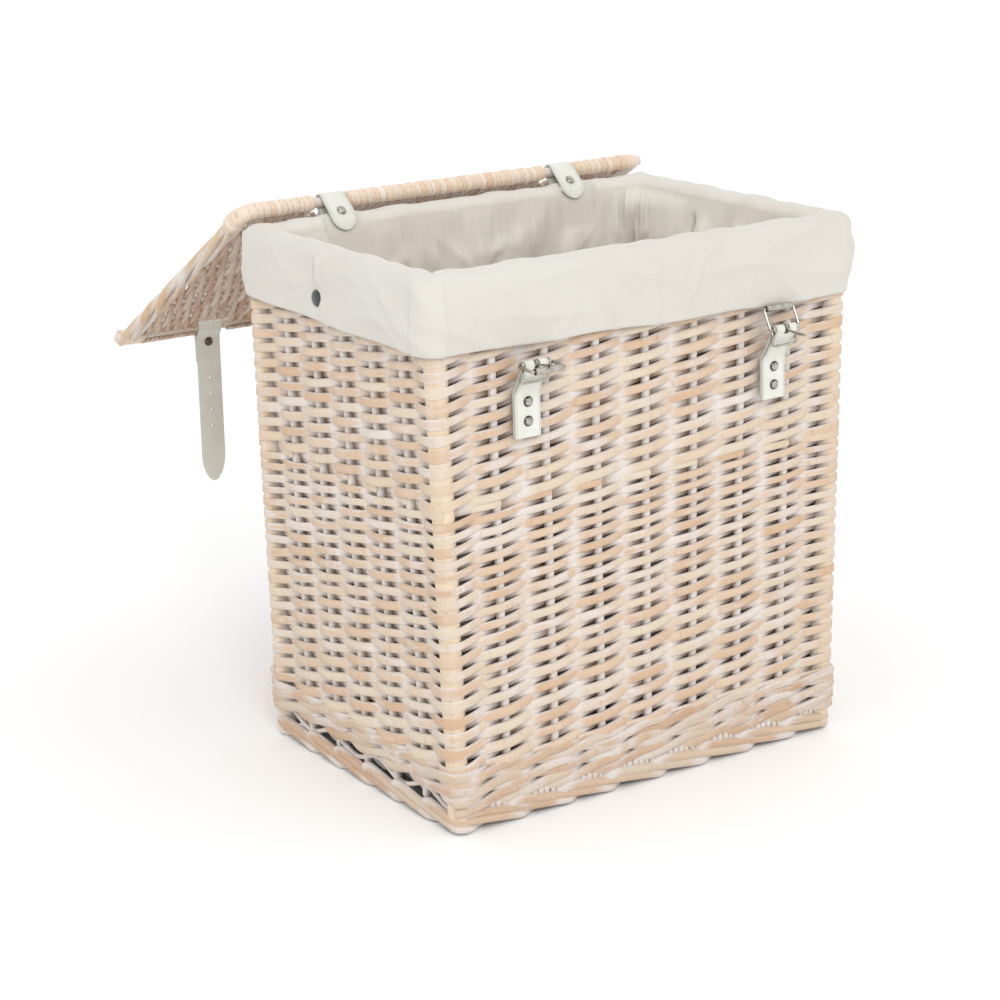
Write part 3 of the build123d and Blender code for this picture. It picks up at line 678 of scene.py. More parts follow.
def liner():
    """The cotton lining: a hemmed cuff outside, over the padded rim and down inside to the floor."""
    rng = np.random.default_rng(31)
    base, out = outline_columns((190, 150), 14)
    n = len(base)
    hem_rows = [(1.4, 9), (1.1, 3), (1.5, 0.3), (2.4, -0.6), (3.3, 0.2), (3.8, 2.0)]
    rows = [(o * MM, HEM_Z + z * MM, 0.0, 0.0) for o, z in hem_rows]
    top = liner_high.z
    rim_start = top - 12 * MM
    for z in np.linspace(HEM_Z + 4 * MM, rim_start, 22)[:-1]:
        rows.append((3.6 * MM, z, 0.0, 0.0))
    for f in np.linspace(0, 1, 22):
        a = np.pi * f
        rows.append((-10.5 * MM + 14.1 * MM * np.cos(a), rim_start + 12 * MM * np.sin(a), f, 0.0))
    floor_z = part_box("liner_floor")[1].z
    inner = -24.6 * MM
    for z in np.linspace(rim_start, floor_z + 6 * MM, 110)[1:]:
        rows.append((inner, z, 1.0, 1.0))
    for f in np.linspace(0, 1, 6)[1:]:
        a = f * np.pi / 2
        rows.append((inner - 6 * MM * (1 - np.cos(a)), floor_z + 6 * MM - 5.6 * MM * np.sin(a), 1.0, 1.0))
    offset, z, over, inside = (np.array(c)[:, None] for c in zip(*rows))
    offset = np.repeat(offset, n, 1)
    z = np.repeat(z, n, 1)

    def positions(offset, z):
        r = np.maximum(CUFF_R + offset, 5 * MM)
        hw = half_width(z) + offset - r
        hd = half_depth(z) + offset - r
        return np.stack([base[:, 0] * hw + out[:, 0] * r, base[:, 1] * hd + out[:, 1] * r, z], -1)

    at = positions(offset, z)
    step = np.linalg.norm(np.diff(at[20][:, :2], axis=0), axis=1)
    length = np.concatenate([[0], np.cumsum(step)])[None, :]
    total = length[0, -1] + np.linalg.norm(at[20][0, :2] - at[20][-1, :2])
    x, y = at[..., 0], at[..., 1]
    height = (z - HEM_Z) / (rim_start - HEM_Z)
    outside = 1 - inside

    # The cuff: slightly puffed, with soft folds, a pressed pleat above the stud and an uneven hem
    puff = 1.3 * MM * np.sin(np.pi * np.clip(height, 0, 1)) * (over < 0.01)
    puff = puff + 0.55 * MM * waves(rng, length, z, 9, 4, 30, 1, 8, total) * np.clip(height * 3, 0.3, 1)
    pleat_y = stud_y - 2 * MM - 6 * MM * np.clip(height, 0, 1.4)
    pleat = hump(y, pleat_y - 2 * MM, 2.8 * MM) - 0.9 * hump(y, pleat_y + 5 * MM, 3.0 * MM)
    pleat = pleat * (x < -0.2) * smooth((z - stud_z - 7 * MM) / (14 * MM))
    puff = puff + creases(rng, length, z, HEM_Z, rim_start, 90, total, 3.0 * MM)
    hw, hd = half_width(z), half_depth(z)
    corner_fold = smooth((20 * MM - hd - y) / (2.5 * MM)) * smooth((15 * MM - hw - x) / (2.5 * MM))
    puff = puff + 1.5 * MM * corner_fold
    tight = strap_window(x, y, 15 * MM)
    stud_near = hump(y, stud_y, 13 * MM) * hump(z, stud_z, 13 * MM) * (x < -0.2)
    cuff_push = np.clip(puff + 4.2 * MM * pleat, -0.7 * MM, 6.5 * MM)
    cuff_push = cuff_push * (1 - tight) * (1 - stud_near) - 0.7 * MM * tight - 0.6 * MM * stud_near
    rim_fade = 1 - smooth(over / 0.75)
    push = cuff_push * outside * rim_fade
    hem_drop = 3.0 * MM * np.sin(2 * np.pi * length / total + 2.2)
    hem_drop = hem_drop + 0.8 * MM * waves(rng, length, 0 * z, 5, 3, 12, 0, 0, total)
    back_left = 5 * MM * hump(x, -0.23, 0.12) * hump(y, 0.15, 0.12)
    z = z + (hem_drop + back_left) * outside * (1 - smooth(height)) * (over < 0.01)

    # The rim: lumps of the woven border under the cloth, downwards only
    lumps = waves(rng, length, 0 * z, 8, 8, 44, 0, 0, total)
    z = z - (0.5 + 0.45 * np.tanh(lumps)) * 2.6 * MM * np.sin(np.pi * over) * (1 - inside)

    # Inside: loose folds, gathers below the hinge, and two lapped folds on the right
    depth = np.clip((rim_start - z) / 0.04, 0, 1) * inside
    loose = waves(rng, length, z, 14, 3, 26, 0.5, 6, total)
    fine = waves(rng, length, z, 12, 20, 70, 2, 16, total)
    folds = 4.6 * MM * (1 + np.tanh(1.5 * loose)) + 1.3 * MM * (1 + np.tanh(1.5 * fine))
    gather_at = np.abs(np.sin(np.pi * length / (11 * MM) + 1.2 * np.sin(length * 61)))
    gathers = 2.2 * MM * gather_at * np.exp(-((rim_start - z) / (34 * MM))) * (y > 0.1)
    on_right = x > 0.19
    lap = 9 * MM * smooth((lower_high.y - 26 * MM - y - 0.05 * (rim_start - z)) / (2 * MM))
    lap = lap * smooth((y - 0.02) / 0.1) * on_right * smooth((rim_start + 6 * MM - z) / (20 * MM))
    slit = 6 * MM * smooth((0.035 - y) / (1.5 * MM)) * smooth((y + 0.05) / 0.06)
    slit = slit * on_right * smooth((rim_start - 20 * MM - z) / (25 * MM))
    folds = np.minimum(folds, 10 * MM)
    folds = folds + creases(rng, length, z, rim_start - 0.16, rim_start + 0.01, 110, total, 4.2 * MM)
    loose_cloth = folds * depth + gathers * depth ** 0.3 + (lap + slit) * inside
    push = push - loose_cloth * (1 - tight * (z > 0.46))
    slack = inside * on_right * smooth((rim_start - 12 * MM - z) / (14 * MM))
    push = push + slack * 9 * MM * hump(y, 0.038, 2.8 * MM)
    push = push - slack * 6 * MM * (hump(y, 0.02, 7 * MM) + hump(y, -0.03, 9 * MM))
    near_floor = smooth((z - floor_z) / (30 * MM)) * inside + outside
    push = push * near_floor

    # Under the hinge straps the cloth follows the leather
    keys = [0.0, 0.25, 0.5, 0.62, 0.75, 0.88, 1.0]
    strap_y = np.interp(over, keys, np.array([157.2, 155.2, 146.5, 142.6, 138.2, 135.0, 134.3]) * MM)
    strap_z = np.interp(over, keys, np.array([488, 496.4, 499.6, 497.4, 491.4, 483.2, 476]) * MM)
    follow = tight * (over > 0.001)
    hold_z = 430 * MM
    end_z = 476 * MM
    lower = np.clip((z - hold_z) / (rim_start - hold_z), 0, None) * (end_z - hold_z) + hold_z
    offset = offset + push
    follow_inside = follow * smooth((z - hold_z) / (rim_start - hold_z))
    offset = offset + (strap_y - half_depth(strap_z) - offset) * np.where(inside > 0, follow_inside, follow)
    z = z + np.where(inside > 0, np.where(z > hold_z, lower - z, 0), strap_z - z) * follow

    b = Builder()
    co = positions(offset, z)
    grain = np.stack([np.repeat(length, len(rows), 0), z, inside * np.ones_like(z)], -1)
    # The crown is 1 on the cuff and 0 inside, where the cotton is painted lighter and warmer.
    b.grid(co, 0.5, outside * (1 - smooth((over - 0.4) / 0.6)) * np.ones_like(z), grain)
    cloth = b.build("lining_cloth", "root", cotton_cloth, "liner")

    # The floor panel
    low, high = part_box("liner_floor")
    gx, gy = np.meshgrid(np.linspace(low.x + 1 * MM, high.x - 1 * MM, 90),
                         np.linspace(low.y + 1 * MM, high.y - 1 * MM, 64))
    edge = np.minimum(np.minimum(gx - low.x, high.x - gx), np.minimum(gy - low.y, high.y - gy))
    ripple = waves(rng, gx, gy * 4, 10, 1, 4, 0.5, 4, high.x - low.x)
    gz = high.z + (0.4 + 1.6 * (1 + np.tanh(ripple)) * smooth(edge / (40 * MM))) * MM
    panel = Builder()
    # Crown 0: the floor panel takes the cotton's painted lighter, warmer inside colour.
    panel.grid(np.stack([gx, gy, gz], -1), 0.5, 0.0, np.stack([gx, gy, gz], -1), wrap=False)
    floor = panel.build("lining_floor", "root", cotton_cloth, "liner_floor")


stud_low, stud_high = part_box("liner_stud_cap")
stud_y = (stud_low.y + stud_high.y) / 2
stud_z = (stud_low.z + stud_high.z) / 2
liner()


# Leather ---------------------------------------------------------------------------------------------

LEATHER = 2.4 * MM
HEAD_R = 4.7 * MM          # rivet heads


def corner_arc(a, c, e, radius, count):
    """Points that round the corner c between a and e."""
    p0 = c + unit(a - c) * radius
    p1 = c + unit(e - c) * radius
    return [(1 - f) ** 2 * p0 + 2 * f * (1 - f) * c + f * f * p1 for f in np.linspace(0, 1, count)]


def arc_points(points, radii, per_arc):
    """A path (y, z) with its corners rounded, less where two corners are close."""
    points = [np.array(p, float) for p in points]
    path = [points[0]]
    for i in range(1, len(points) - 1):
        a, c, e = points[i - 1], points[i], points[i + 1]
        r = min(radii, 0.45 * np.linalg.norm(a - c), 0.45 * np.linalg.norm(e - c))
        path += corner_arc(a, c, e, r, per_arc)
    path.append(points[-1])
    return np.array(path)


def resample(path, step):
    path = np.asarray(path, float)
    run = np.concatenate([[0], np.cumsum(np.linalg.norm(np.diff(path, axis=0), axis=1))])
    s = np.linspace(0, run[-1], max(8, int(run[-1] / step)))
    return np.stack([np.interp(s, run, path[:, i]) for i in range(path.shape[1])], -1), s


def leather_strip(b, x, path, width, thickness, tint, round_end=False, crease=2.6 * MM, face=1):
    """A leather strip along a path (y, z), rounded at its end if asked. face is the side of the path
    that carries the pressed crease lines."""
    path, s = resample(path, 0.8 * MM)
    total = s[-1]
    tangent = unit(np.gradient(path, axis=0))
    normal = np.stack([-tangent[:, 1], tangent[:, 0]], -1) * face
    half = (width(s, total) if callable(width) else width) / 2 * np.ones(len(s))
    r = half.max()
    if round_end:
        half *= np.sqrt(np.clip(1 - ((r - total + s) / r).clip(0, 1) ** 2, 0.02, 1))
    flat = np.sin(np.linspace(-np.pi / 2, np.pi / 2, 29))[1:-1]
    bend = np.sin(np.linspace(-np.pi / 2, np.pi / 2, 7))
    one, side = np.ones(len(flat)), np.ones(len(bend))
    u = np.concatenate([flat, side, flat[::-1], -side])
    v = np.concatenate([one, bend[::-1], -one, bend])
    edge = np.concatenate([0 * one, side, 0 * one, side])
    t = thickness / 2
    inner = np.maximum(half - t, 0.15 * half)
    u_pos = u[None, :] * inner[:, None]
    bulge = np.where(edge, np.sqrt(np.clip(1 - v * v, 0, 1)), 0) * np.sign(u)
    u_pos = u_pos + bulge[None, :] * np.minimum(t, 0.85 * half)[:, None]
    groove = np.exp(-((half[:, None] - np.abs(u_pos) - crease) / (0.45 * MM)) ** 2) * (v > 0.99) * 0.3 * MM
    v_pos = v[None, :] * t - groove + 0.08 * MM * np.sin(s * 190)[:, None]
    co = np.zeros((len(s), len(u), 3))
    co[..., 0] = x + u_pos
    co[..., 1] = path[:, 0][:, None] + normal[:, 0][:, None] * v_pos
    co[..., 2] = path[:, 1][:, None] + normal[:, 1][:, None] * v_pos
    grain = np.stack([np.repeat(s[:, None], len(u), 1), u_pos, v_pos], -1)
    # The crown is low on the rounded edges and in the crease, where the leather material paints shade.
    crown = 1 - np.maximum(np.abs(bulge)[None, :] * np.ones_like(u_pos), groove / (0.3 * MM) * 0.8)
    if face < 0:
        co, grain, crown = co[:, ::-1], grain[:, ::-1], crown[:, ::-1]
    b.closed(b.grid(co, tint, crown, grain))


def cut(piece, cutters):
    """Cuts holes or slots (meshes) out of a piece."""
    for mesh in cutters:
        tool = bpy.data.objects.new("cutter", mesh)
        bpy.context.scene.collection.objects.link(tool)
        change = piece.modifiers.new("cut", "BOOLEAN")
        change.object = tool
        change.operation = "DIFFERENCE"
        change.solver = "EXACT"
        bpy.context.view_layer.update()
        seen = piece.evaluated_get(bpy.context.evaluated_depsgraph_get())
        mesh_after = bpy.data.meshes.new_from_object(seen)
        piece.modifiers.clear()
        piece.data = mesh_after
        bpy.data.objects.remove(tool)


def circle_round(axis, count):
    """Directions all round an axis."""
    side = unit(np.cross(axis, [1.0, 0, 0] if abs(axis[0]) < 0.9 else [0, 1.0, 0]))
    up = np.cross(axis, side)
    a = np.linspace(0, 2 * np.pi, count, endpoint=False)
    return side[None] * np.cos(a)[:, None] + up[None] * np.sin(a)[:, None]


def cylinder_mesh(p0, p1, radius):
    b = Builder()
    p0, p1 = np.array(p0, float), np.array(p1, float)
    circle = circle_round(unit(p1 - p0), 20) * radius
    co = np.stack([p0 + circle, p1 + circle])
    index = b.grid(co, 0, 0, np.zeros(co.shape))
    mesh = bpy.data.meshes.new("cutter")
    faces = np.concatenate(b.quads).tolist() + [list(map(int, index[0][::-1])), list(map(int, index[1]))]
    mesh.from_pydata(co.reshape(-1, 3).tolist(), [], faces)
    return mesh


def box_mesh(low, high):
    co = [(x, y, z) for x in (low[0], high[0]) for y in (low[1], high[1]) for z in (low[2], high[2])]
    faces = [(0, 1, 3, 2), (4, 6, 7, 5), (0, 4, 5, 1), (2, 3, 7, 6), (0, 2, 6, 4), (1, 5, 7, 3)]
    mesh = bpy.data.meshes.new("cutter")
    mesh.from_pydata(co, [], faces)
    return mesh


def turned(b, origin, axis, profile, ring=32, brightness=1.0):
    """A turned piece: profile is (radius, height along the axis), and the last argument is how bright it is
    there, set by the crown: on the rivets this paints their dark reflection."""
    origin = np.array(origin, float)
    axis = unit(np.array(axis, float))
    around = circle_round(axis, ring)
    profile = np.array(profile, float)
    co = origin + around[None] * profile[:, 0][:, None, None] + axis * profile[:, 1][:, None, None]
    brightness = np.broadcast_to(brightness, (len(profile),))
    b.closed(b.grid(co, 0.5, brightness[:, None], co))


def rivet(b, seat, axis, reflection_dark=1.0):
    """A domed rivet head standing on its flat rim, with a painted reflection: bright in the middle, dark
    towards the rim and on the flat rim."""
    r, h = HEAD_R, 2.4 * MM
    profile = [(r * 0.35, 0.0), (r * 0.93, 0.0), (r, h * 0.1), (r * 0.98, h * 0.24), (r * 0.88, h * 0.3)]
    profile += [(r * 0.86 * math.cos(a), h * 0.3 + h * 0.7 * math.sin(a)) for a in np.linspace(0, 1.5, 16)]
    radius = np.array([p[0] for p in profile]) / r
    # Painted reflection: bright in the middle and dark towards the rim; rivet's last argument scales its
    # dark part.
    brightness = 1 - smooth((radius - 0.5) / 0.42)
    brightness[:3] = 0.15
    turned(b, seat, axis, profile, brightness=1 - reflection_dark * (1 - brightness))


hinge = joint_at("lid_hinge")
# (y, z) in mm of the hinge straps: down the inside of the rim, and down the outside of the back
HINGE_INNER = [(156.1, 513.1), (143.0, 500.9), (136.5, 493.0), (132.6, 484.5)]
HINGE_OUTER = [(161.5, 501.8), (158.6, 496.0), (158.8, 472.0)]


def hinge_straps():
    """The hinge straps: from the wall's back, round the lid's back rod and down over the rim."""
    loop_r = 5.4 * MM + LEATHER / 2
    y0, z0 = hinge[1], hinge[2]
    rivets = Builder()
    for name in ("left", "right"):
        strap_low, strap_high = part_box("hinge_strap_" + name)
        x = (strap_low.x + strap_high.x) / 2
        inner = [np.array(p) * MM for p in HINGE_INNER]
        outer = [np.array(p) * MM for p in HINGE_OUTER]
        start = math.atan2(outer[0][1] - z0, outer[0][0] - y0)
        finish = math.atan2(inner[0][1] - z0, inner[0][0] - y0)
        turn = np.linspace(start + 0.35, finish - 0.25, 40)
        loop = [np.array([y0 + loop_r * math.cos(a), z0 + loop_r * math.sin(a)]) for a in turn]
        path = arc_points(np.array(outer[::-1][:-1] + loop + inner[1:]), 2.5 * MM, 6)
        b = Builder()
        leather_strip(b, x, path, strap_high.x - strap_low.x, LEATHER, 0.35, round_end=True, face=-1)
        b.build("hinge_leather_" + name, "root", cream_leather, "hinge_strap_" + name)
        out = np.array([0, -0.682, 0.731])      # square to the strap where it lies on the rim
        seat = np.array([x, *inner[1]]) + out * LEATHER / 2
        rivet(rivets, seat, out, 0.3)
        rivet(rivets, (x, outer[2][0] + LEATHER / 2, 480 * MM), (0, 1, 0), 0.3)
    rivets.build("hinge_rivet_heads", "root", nickel, "hinge_rivets")


BURR = np.array([(0.3, 0), (4.7, 0), (4.9, 0.6), (2.2, 1.2), (1.7, 1.3)]) * MM   # radius, height


def buckle_tabs():
    """Folded leather tabs round the buckles' bars, with two rivets through the wall."""
    burrs = Builder()
    for name in ("left", "right"):
        low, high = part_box("buckle_tab_" + name)
        bar = joint_at(f"frame_{name}_tilt")
        heads_low, heads_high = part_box("buckle_rivets_" + name)
        x = (low.x + high.x) / 2
        ply = 2.2 * MM
        top_rivet, low_rivet = heads_high.z - HEAD_R, heads_low.z + HEAD_R
        lift = top_rivet + 7 * MM
        out_y = -half_depth(low.z) - 0.3 * MM - 1.5 * ply
        lift_y = -half_depth(lift) - 0.3 * MM - 1.5 * ply
        run = np.array([bar[1] - lift_y - ply / 2, bar[2] - lift])
        r = 2.85 * MM
        start = math.atan2(run[0], -run[1])
        loop = [np.array([bar[1] + r * math.cos(a), bar[2] + r * math.sin(a)])
                for a in np.linspace(start, start - np.pi, 24)]
        path = [np.array([out_y, low.z]), np.array([lift_y, lift])] + loop
        path += [np.array([lift_y + ply + 0.2 * MM, lift + 1 * MM])]
        path += [np.array([out_y + ply, low.z + 1.5 * MM])]
        path = arc_points(path, 4 * MM, 8)
        wide = high.x - low.x

        def width(s, total, wide=wide, lift=lift, low=low.z):
            up = smooth((np.minimum(s, total - s) - (lift - low)) / (9 * MM))
            return wide - up * (wide - 24.4 * MM)

        b = Builder()
        leather_strip(b, x, path, width, ply, 0.4, crease=2.0 * MM)
        piece = b.build("buckle_leather_" + name, "root", cream_leather, "buckle_tab_" + name)
        centre, half = np.array([x, bar[1], bar[2]]), np.array([2.6, 4.6, 4.6]) * MM
        cut(piece, [box_mesh(centre - half, centre + half)])
        heads = Builder()
        for z in (top_rivet, low_rivet):
            rivet(heads, (x, -half_depth(z) - 0.45 * MM - 2 * ply, z), (0, -1, 0))
            turned(burrs, (x, -half_depth(z) + WALL + 1.5 * MM, z), (0, -1, 0), BURR)
        heads.build("buckle_rivet_heads_" + name, "root", nickel, "buckle_rivets_" + name)
    burrs.build("rivet_burr_washers", "root", nickel, "rivet_burrs")


def wire(b, path, radius, closed=False):
    """A wire along a path, its ring kept from twisting."""
    path = np.asarray(path, float)
    if closed:
        tangent = unit(np.roll(path, -1, 0) - np.roll(path, 1, 0))
    else:
        tangent = unit(np.gradient(path, axis=0))
    side = np.zeros_like(path)
    side[0] = unit(np.cross(tangent[0], [0.3, 0.5, 0.8]))
    for i in range(1, len(path)):
        side[i] = unit(side[i - 1] - tangent[i] * np.dot(side[i - 1], tangent[i]))
    up = np.cross(tangent, side)
    if closed:
        slip = math.atan2(np.dot(side[-1], up[0]), np.dot(side[-1], side[0]))
        a = -slip * np.arange(len(path)) / len(path)
        side, up = (side * np.cos(a)[:, None] + up * np.sin(a)[:, None],
                    up * np.cos(a)[:, None] - side * np.sin(a)[:, None])
    a = np.linspace(0, 2 * np.pi, 14, endpoint=False)
    around = side[:, None] * np.cos(a)[None, :, None] + up[:, None] * np.sin(a)[None, :, None]
    co = path[:, None] + around * radius
    if closed:
        co = np.concatenate([co, co[:1]])
    index = b.grid(co, 0.5, 1.0, co)
    if not closed:
        b.closed(index)


def flat_to_world(name, elevation):
    """Turns (x, y, z) drawn with the bar on X and the roller towards +y into the open buckle."""
    bar = joint_at(f"frame_{name}_tilt")
    x0 = sum(c.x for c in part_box("buckle_frame_" + name)) / 2
    a = math.radians(180 - elevation)

    def put(points):
        x, y, z = np.moveaxis(np.asarray(points, float), -1, 0)
        return np.stack([x0 + x, bar[1] + y * math.cos(a) - z * math.sin(a),
                         bar[2] + y * math.sin(a) + z * math.cos(a)], -1)
    return put


def rounded_path(points, radius, closed):
    """A path with its corners rounded; a closed one joins its last point to its first."""
    points = [np.array(p, float) for p in points]
    n = len(points)
    path = []
    for i in range(n):
        if not closed and i in (0, n - 1):
            path.append(points[i])
            continue
        path += corner_arc(points[i - 1], points[i], points[(i + 1) % n], radius, 8)
    return np.array(path)


# How far the frame and the prong stand above level, in degrees
BUCKLES = {"left": (-3.0, 10.2), "right": (118.0, -3.0)}


def buckles():
    """Two roller buckles on their bars: wire frame, roller, prong and keeper loop."""
    reach, w, wire_r = 20 * MM, 16.8 * MM, 1.4 * MM
    for name, (frame_up, prong_up) in BUCKLES.items():
        def part(piece, body, node):
            b.build(f"buckle_{piece}_{name}", f"{body}_{name}", nickel, f"buckle_{node}_{name}")

        put = flat_to_world(name, frame_up)
        b = Builder()
        loop = rounded_path([(-w, 0, 0), (w, 0, 0), (w, reach, 0), (-w, reach, 0)], 2.2 * MM, True)
        wire(b, put(loop), wire_r, closed=True)
        part("wire", "frame", "frame")

        b = Builder()
        r, length = 3.0 * MM, 14.6 * MM
        inner = wire_r + 0.3 * MM
        end = [(inner, length - 0.4 * MM), (inner + 0.3 * MM, length)]
        end += [(r - 0.4 * MM, length), (r, length - 0.5 * MM)]
        profile = [(radius, -z) for radius, z in end]
        profile += [(r, z) for z in np.linspace(-length + 1 * MM, length - 1 * MM, 12)] + end[::-1]
        # The roller is darker towards its ends.
        brightness = [0.1, 0.1, 0.2, 0.4]
        turned(b, put([0, reach, 0]), (1, 0, 0), profile, 40, brightness + [1.0] * 12 + brightness[::-1])
        part("tube", "roller", "roller")

        put = flat_to_world(name, prong_up)
        b = Builder()
        eye = 2.55 * MM
        turn = np.linspace(-np.pi * 0.9, np.pi * 0.42, 22)
        loop = [(0.5 * MM, eye * math.sin(a), -eye * math.cos(a)) for a in turn]
        tip = [(0, y, 0.15 * MM + 0.9 * MM * math.sin(y / (27 * MM) * 3.1))
               for y in np.linspace(6 * MM, 27.6 * MM, 18)]
        wire(b, put(np.array(loop + tip)), 1.15 * MM)
        part("tongue", "prong", "prong")

        put = flat_to_world(name, -90)
        b = Builder()
        kw, drop, eye = 13.8 * MM, 15 * MM, 2.6 * MM
        left = [(-kw, eye * math.sin(a), eye * math.cos(a)) for a in np.linspace(-3.6, 1.0, 20)]
        left += [(-kw, 4.5 * MM, 0.6 * MM)]
        ends = [(-kw, 6 * MM, 0), (-kw, drop, 0), (kw, drop, 0), (kw, 6 * MM, 0)]
        bottom = rounded_path(ends, 2.2 * MM, False)
        right = [(-x, y, z) for x, y, z in left[::-1]]
        wire(b, put(np.concatenate([left, bottom, right])), 1.2 * MM)
        part("loop", "keeper", "keeper")


def closing_straps():
    """The closing straps: folded round the front rod, riveted, and punched with four holes."""
    for name in ("left", "right"):
        axis = joint_at(f"strap_{name}_swing")
        low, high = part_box("closing_strap_" + name)
        x = (low.x + high.x) / 2
        wide = high.x - low.x
        y, z = axis[1], axis[2]
        r = 6.4 * MM + LEATHER / 2
        ply_low = z - 38 * MM
        back = [(y + LEATHER / 2, ply_low), (y + LEATHER / 2, z - 13 * MM)]
        loop = [(y + r * math.cos(a), z + r * math.sin(a)) for a in np.linspace(-0.9, math.pi + 0.9, 36)]
        front = [(y - LEATHER / 2, z - 13 * MM), (y - LEATHER / 2, low.z)]
        path = arc_points(np.array(back + loop + front), 3 * MM, 6)

        def width(s, total, wide=wide):
            left = np.clip((total - s) / (30 * MM), 0, 1)
            return np.maximum(wide * (1 - (1 - left) ** 2.1) ** 0.58, 1.2 * MM)

        b = Builder()
        leather_strip(b, x, path, width, LEATHER, 0.6)
        body = "strap_" + name
        piece = b.build("closing_leather_" + name, body, cream_leather, "closing_strap_" + name)
        holes = []
        for i in range(4):
            hz = z - (56 + 17 * i) * MM
            holes.append(cylinder_mesh((x, y - 6 * MM, hz), (x, y + 6 * MM, hz), 1.5 * MM))
        cut(piece, holes)
        rivets = Builder()
        rz = z - 17 * MM
        rivet(rivets, (x, y - LEATHER, rz), (0, -1, 0), 0.3)
        rivet(rivets, (x, y + LEATHER, rz), (0, 1, 0), 0.3)
        rivets.build("closing_rivet_" + name, body, old_nickel, "closing_strap_rivet_" + name)


hinge_straps()
buckle_tabs()
buckles()
closing_straps()


# Lid -------------------------------------------------------------------------------------------------

OPEN = math.radians(-212.3)    # from the level lid to the rest position
LID_DEPTH = 304 * MM
STICK_PITCH = 43.4 * MM
LID_X = 232 * MM           # half the lid's width
BACK_ROD_R = 4.8 * MM      # clear of the hinge straps' loops
FRONT_ROD_R = 5.8 * MM     # clear of the closing straps' loops


def opened(points):
    """Points of the closed lid (x, s from the hinge rod to the front, h up) in the open rest position."""
    points = np.asarray(points, float)
    y, z = -points[..., 1], points[..., 2]
    return np.stack([points[..., 0], hinge[1] + y * math.cos(OPEN) - z * math.sin(OPEN),
                     hinge[2] + y * math.sin(OPEN) + z * math.cos(OPEN)], -1)


def opened_way(ways):
    return opened(ways) - opened(np.zeros_like(ways))


def lid_weave():
    """The lid's weavers: over one stick and under the next, leaning sideways as they go, and turned
    round the front rod."""
    rng = np.random.default_rng(41)
    b = Builder()
    lean = 10.4 * MM
    reach = 211 * MM
    count = int((2 * reach + lean * 7) / (lean / 2)) + 2
    points_each = 96
    sticks = np.arange(9)      # the end rods, the six sticks and one knot past them
    for m in range(count):
        x0 = -reach - 7 * lean + m * lean / 2
        s = np.linspace(4 * MM, LID_DEPTH - 6 * MM, points_each)
        t = s / STICK_PITCH
        sway = eased(sticks, rng.normal(0, 0.5 * MM, len(sticks)), t)
        x = x0 + lean * t + sway
        sign = 1 if m % 2 else -1
        deep = 2.6 * MM * rng.normal(1, 0.06)
        h = eased(sticks, sign * 2.3 * MM * (-1.0) ** sticks, t, 0.3)
        ease_in = smooth((s - 4 * MM) / (14 * MM)) * smooth((LID_DEPTH - s) / (16 * MM))
        h = h * ease_in
        # Openings for the hinge straps and the closing straps
        keep = np.abs(x) < reach
        for centre in (-HINGE_X, HINGE_X):
            keep &= ~((np.abs(x - centre) < 16.5 * MM) & (s < 29 * MM))
            keep &= ~((np.abs(x - centre) < 17.5 * MM) & (s > LID_DEPTH - 16 * MM))
        if keep.sum() < 6:
            continue
        first, last = np.argmax(keep), len(keep) - np.argmax(keep[::-1])
        x, s, h, t = x[first:last], s[first:last], h[first:last], t[first:last]
        wide = lean * 0.29 * rng.normal(1, 0.05)
        front = sign * np.cos(np.pi * t)
        crown = (0.75 + 0.25 * np.abs(front)) * (0.7 + 0.3 * rng.uniform())
        tint = np.clip(rng.uniform(0.05, 0.95) + 0.15 * np.sin(3 * t + m), 0, 1)
        b.tube(opened(np.stack([x, s, h], -1)), opened_way(ups(len(s))), deep, wide, tint, crown, ring=10)
        if last == points_each:     # this one reaches the front rod and turns round it
            a = np.linspace(1.9, -2.3, 16)
            r = 7.4 * MM
            xs = x[-1] + np.linspace(0, 4 * MM, 16)
            points = np.stack([xs, LID_DEPTH + r * np.cos(a), r * np.sin(a)], -1)
            ways = np.stack([0 * a, np.cos(a), np.sin(a)], -1)
            b.tube(opened(points), opened_way(ways), 1.4 * MM, lean * 0.27, tint[-1], 0.8, ring=8)
    b.build("lid_weaving", "lid", lid_willow, "lid_panel")


def lid_borders():
    """The lid's side borders: four rods twisted round each other."""
    for name, side in (("left", -1), ("right", 1)):
        rng = np.random.default_rng(43 + side)
        b = Builder()
        s = np.linspace(5 * MM, LID_DEPTH + 4 * MM, 150)
        for k in range(4):
            a = 2 * np.pi * (s / (230 * MM) + k / 4) * side + 0.2 * np.sin(s * 60 + k)
            x = side * (220.5 * MM) + 6.6 * MM * np.cos(a)
            h = 2.5 * MM * np.sin(a)
            size = 3.8 * MM * (1 + 0.07 * np.sin(s * 45 + 2 * k))
            points = np.stack([x, s, h], -1)
            ways = np.stack([np.cos(a) * 0.6, 0 * a, np.sin(a)], -1)
            crown = 0.7 + 0.3 * np.sin(2 * a + k)
            b.tube(opened(points), opened_way(ways), size * 0.95, size, rng.uniform(0.1, 1.0), crown)
        b.build("lid_edge_" + name, "lid", edge_willow, "lid_border_" + name)


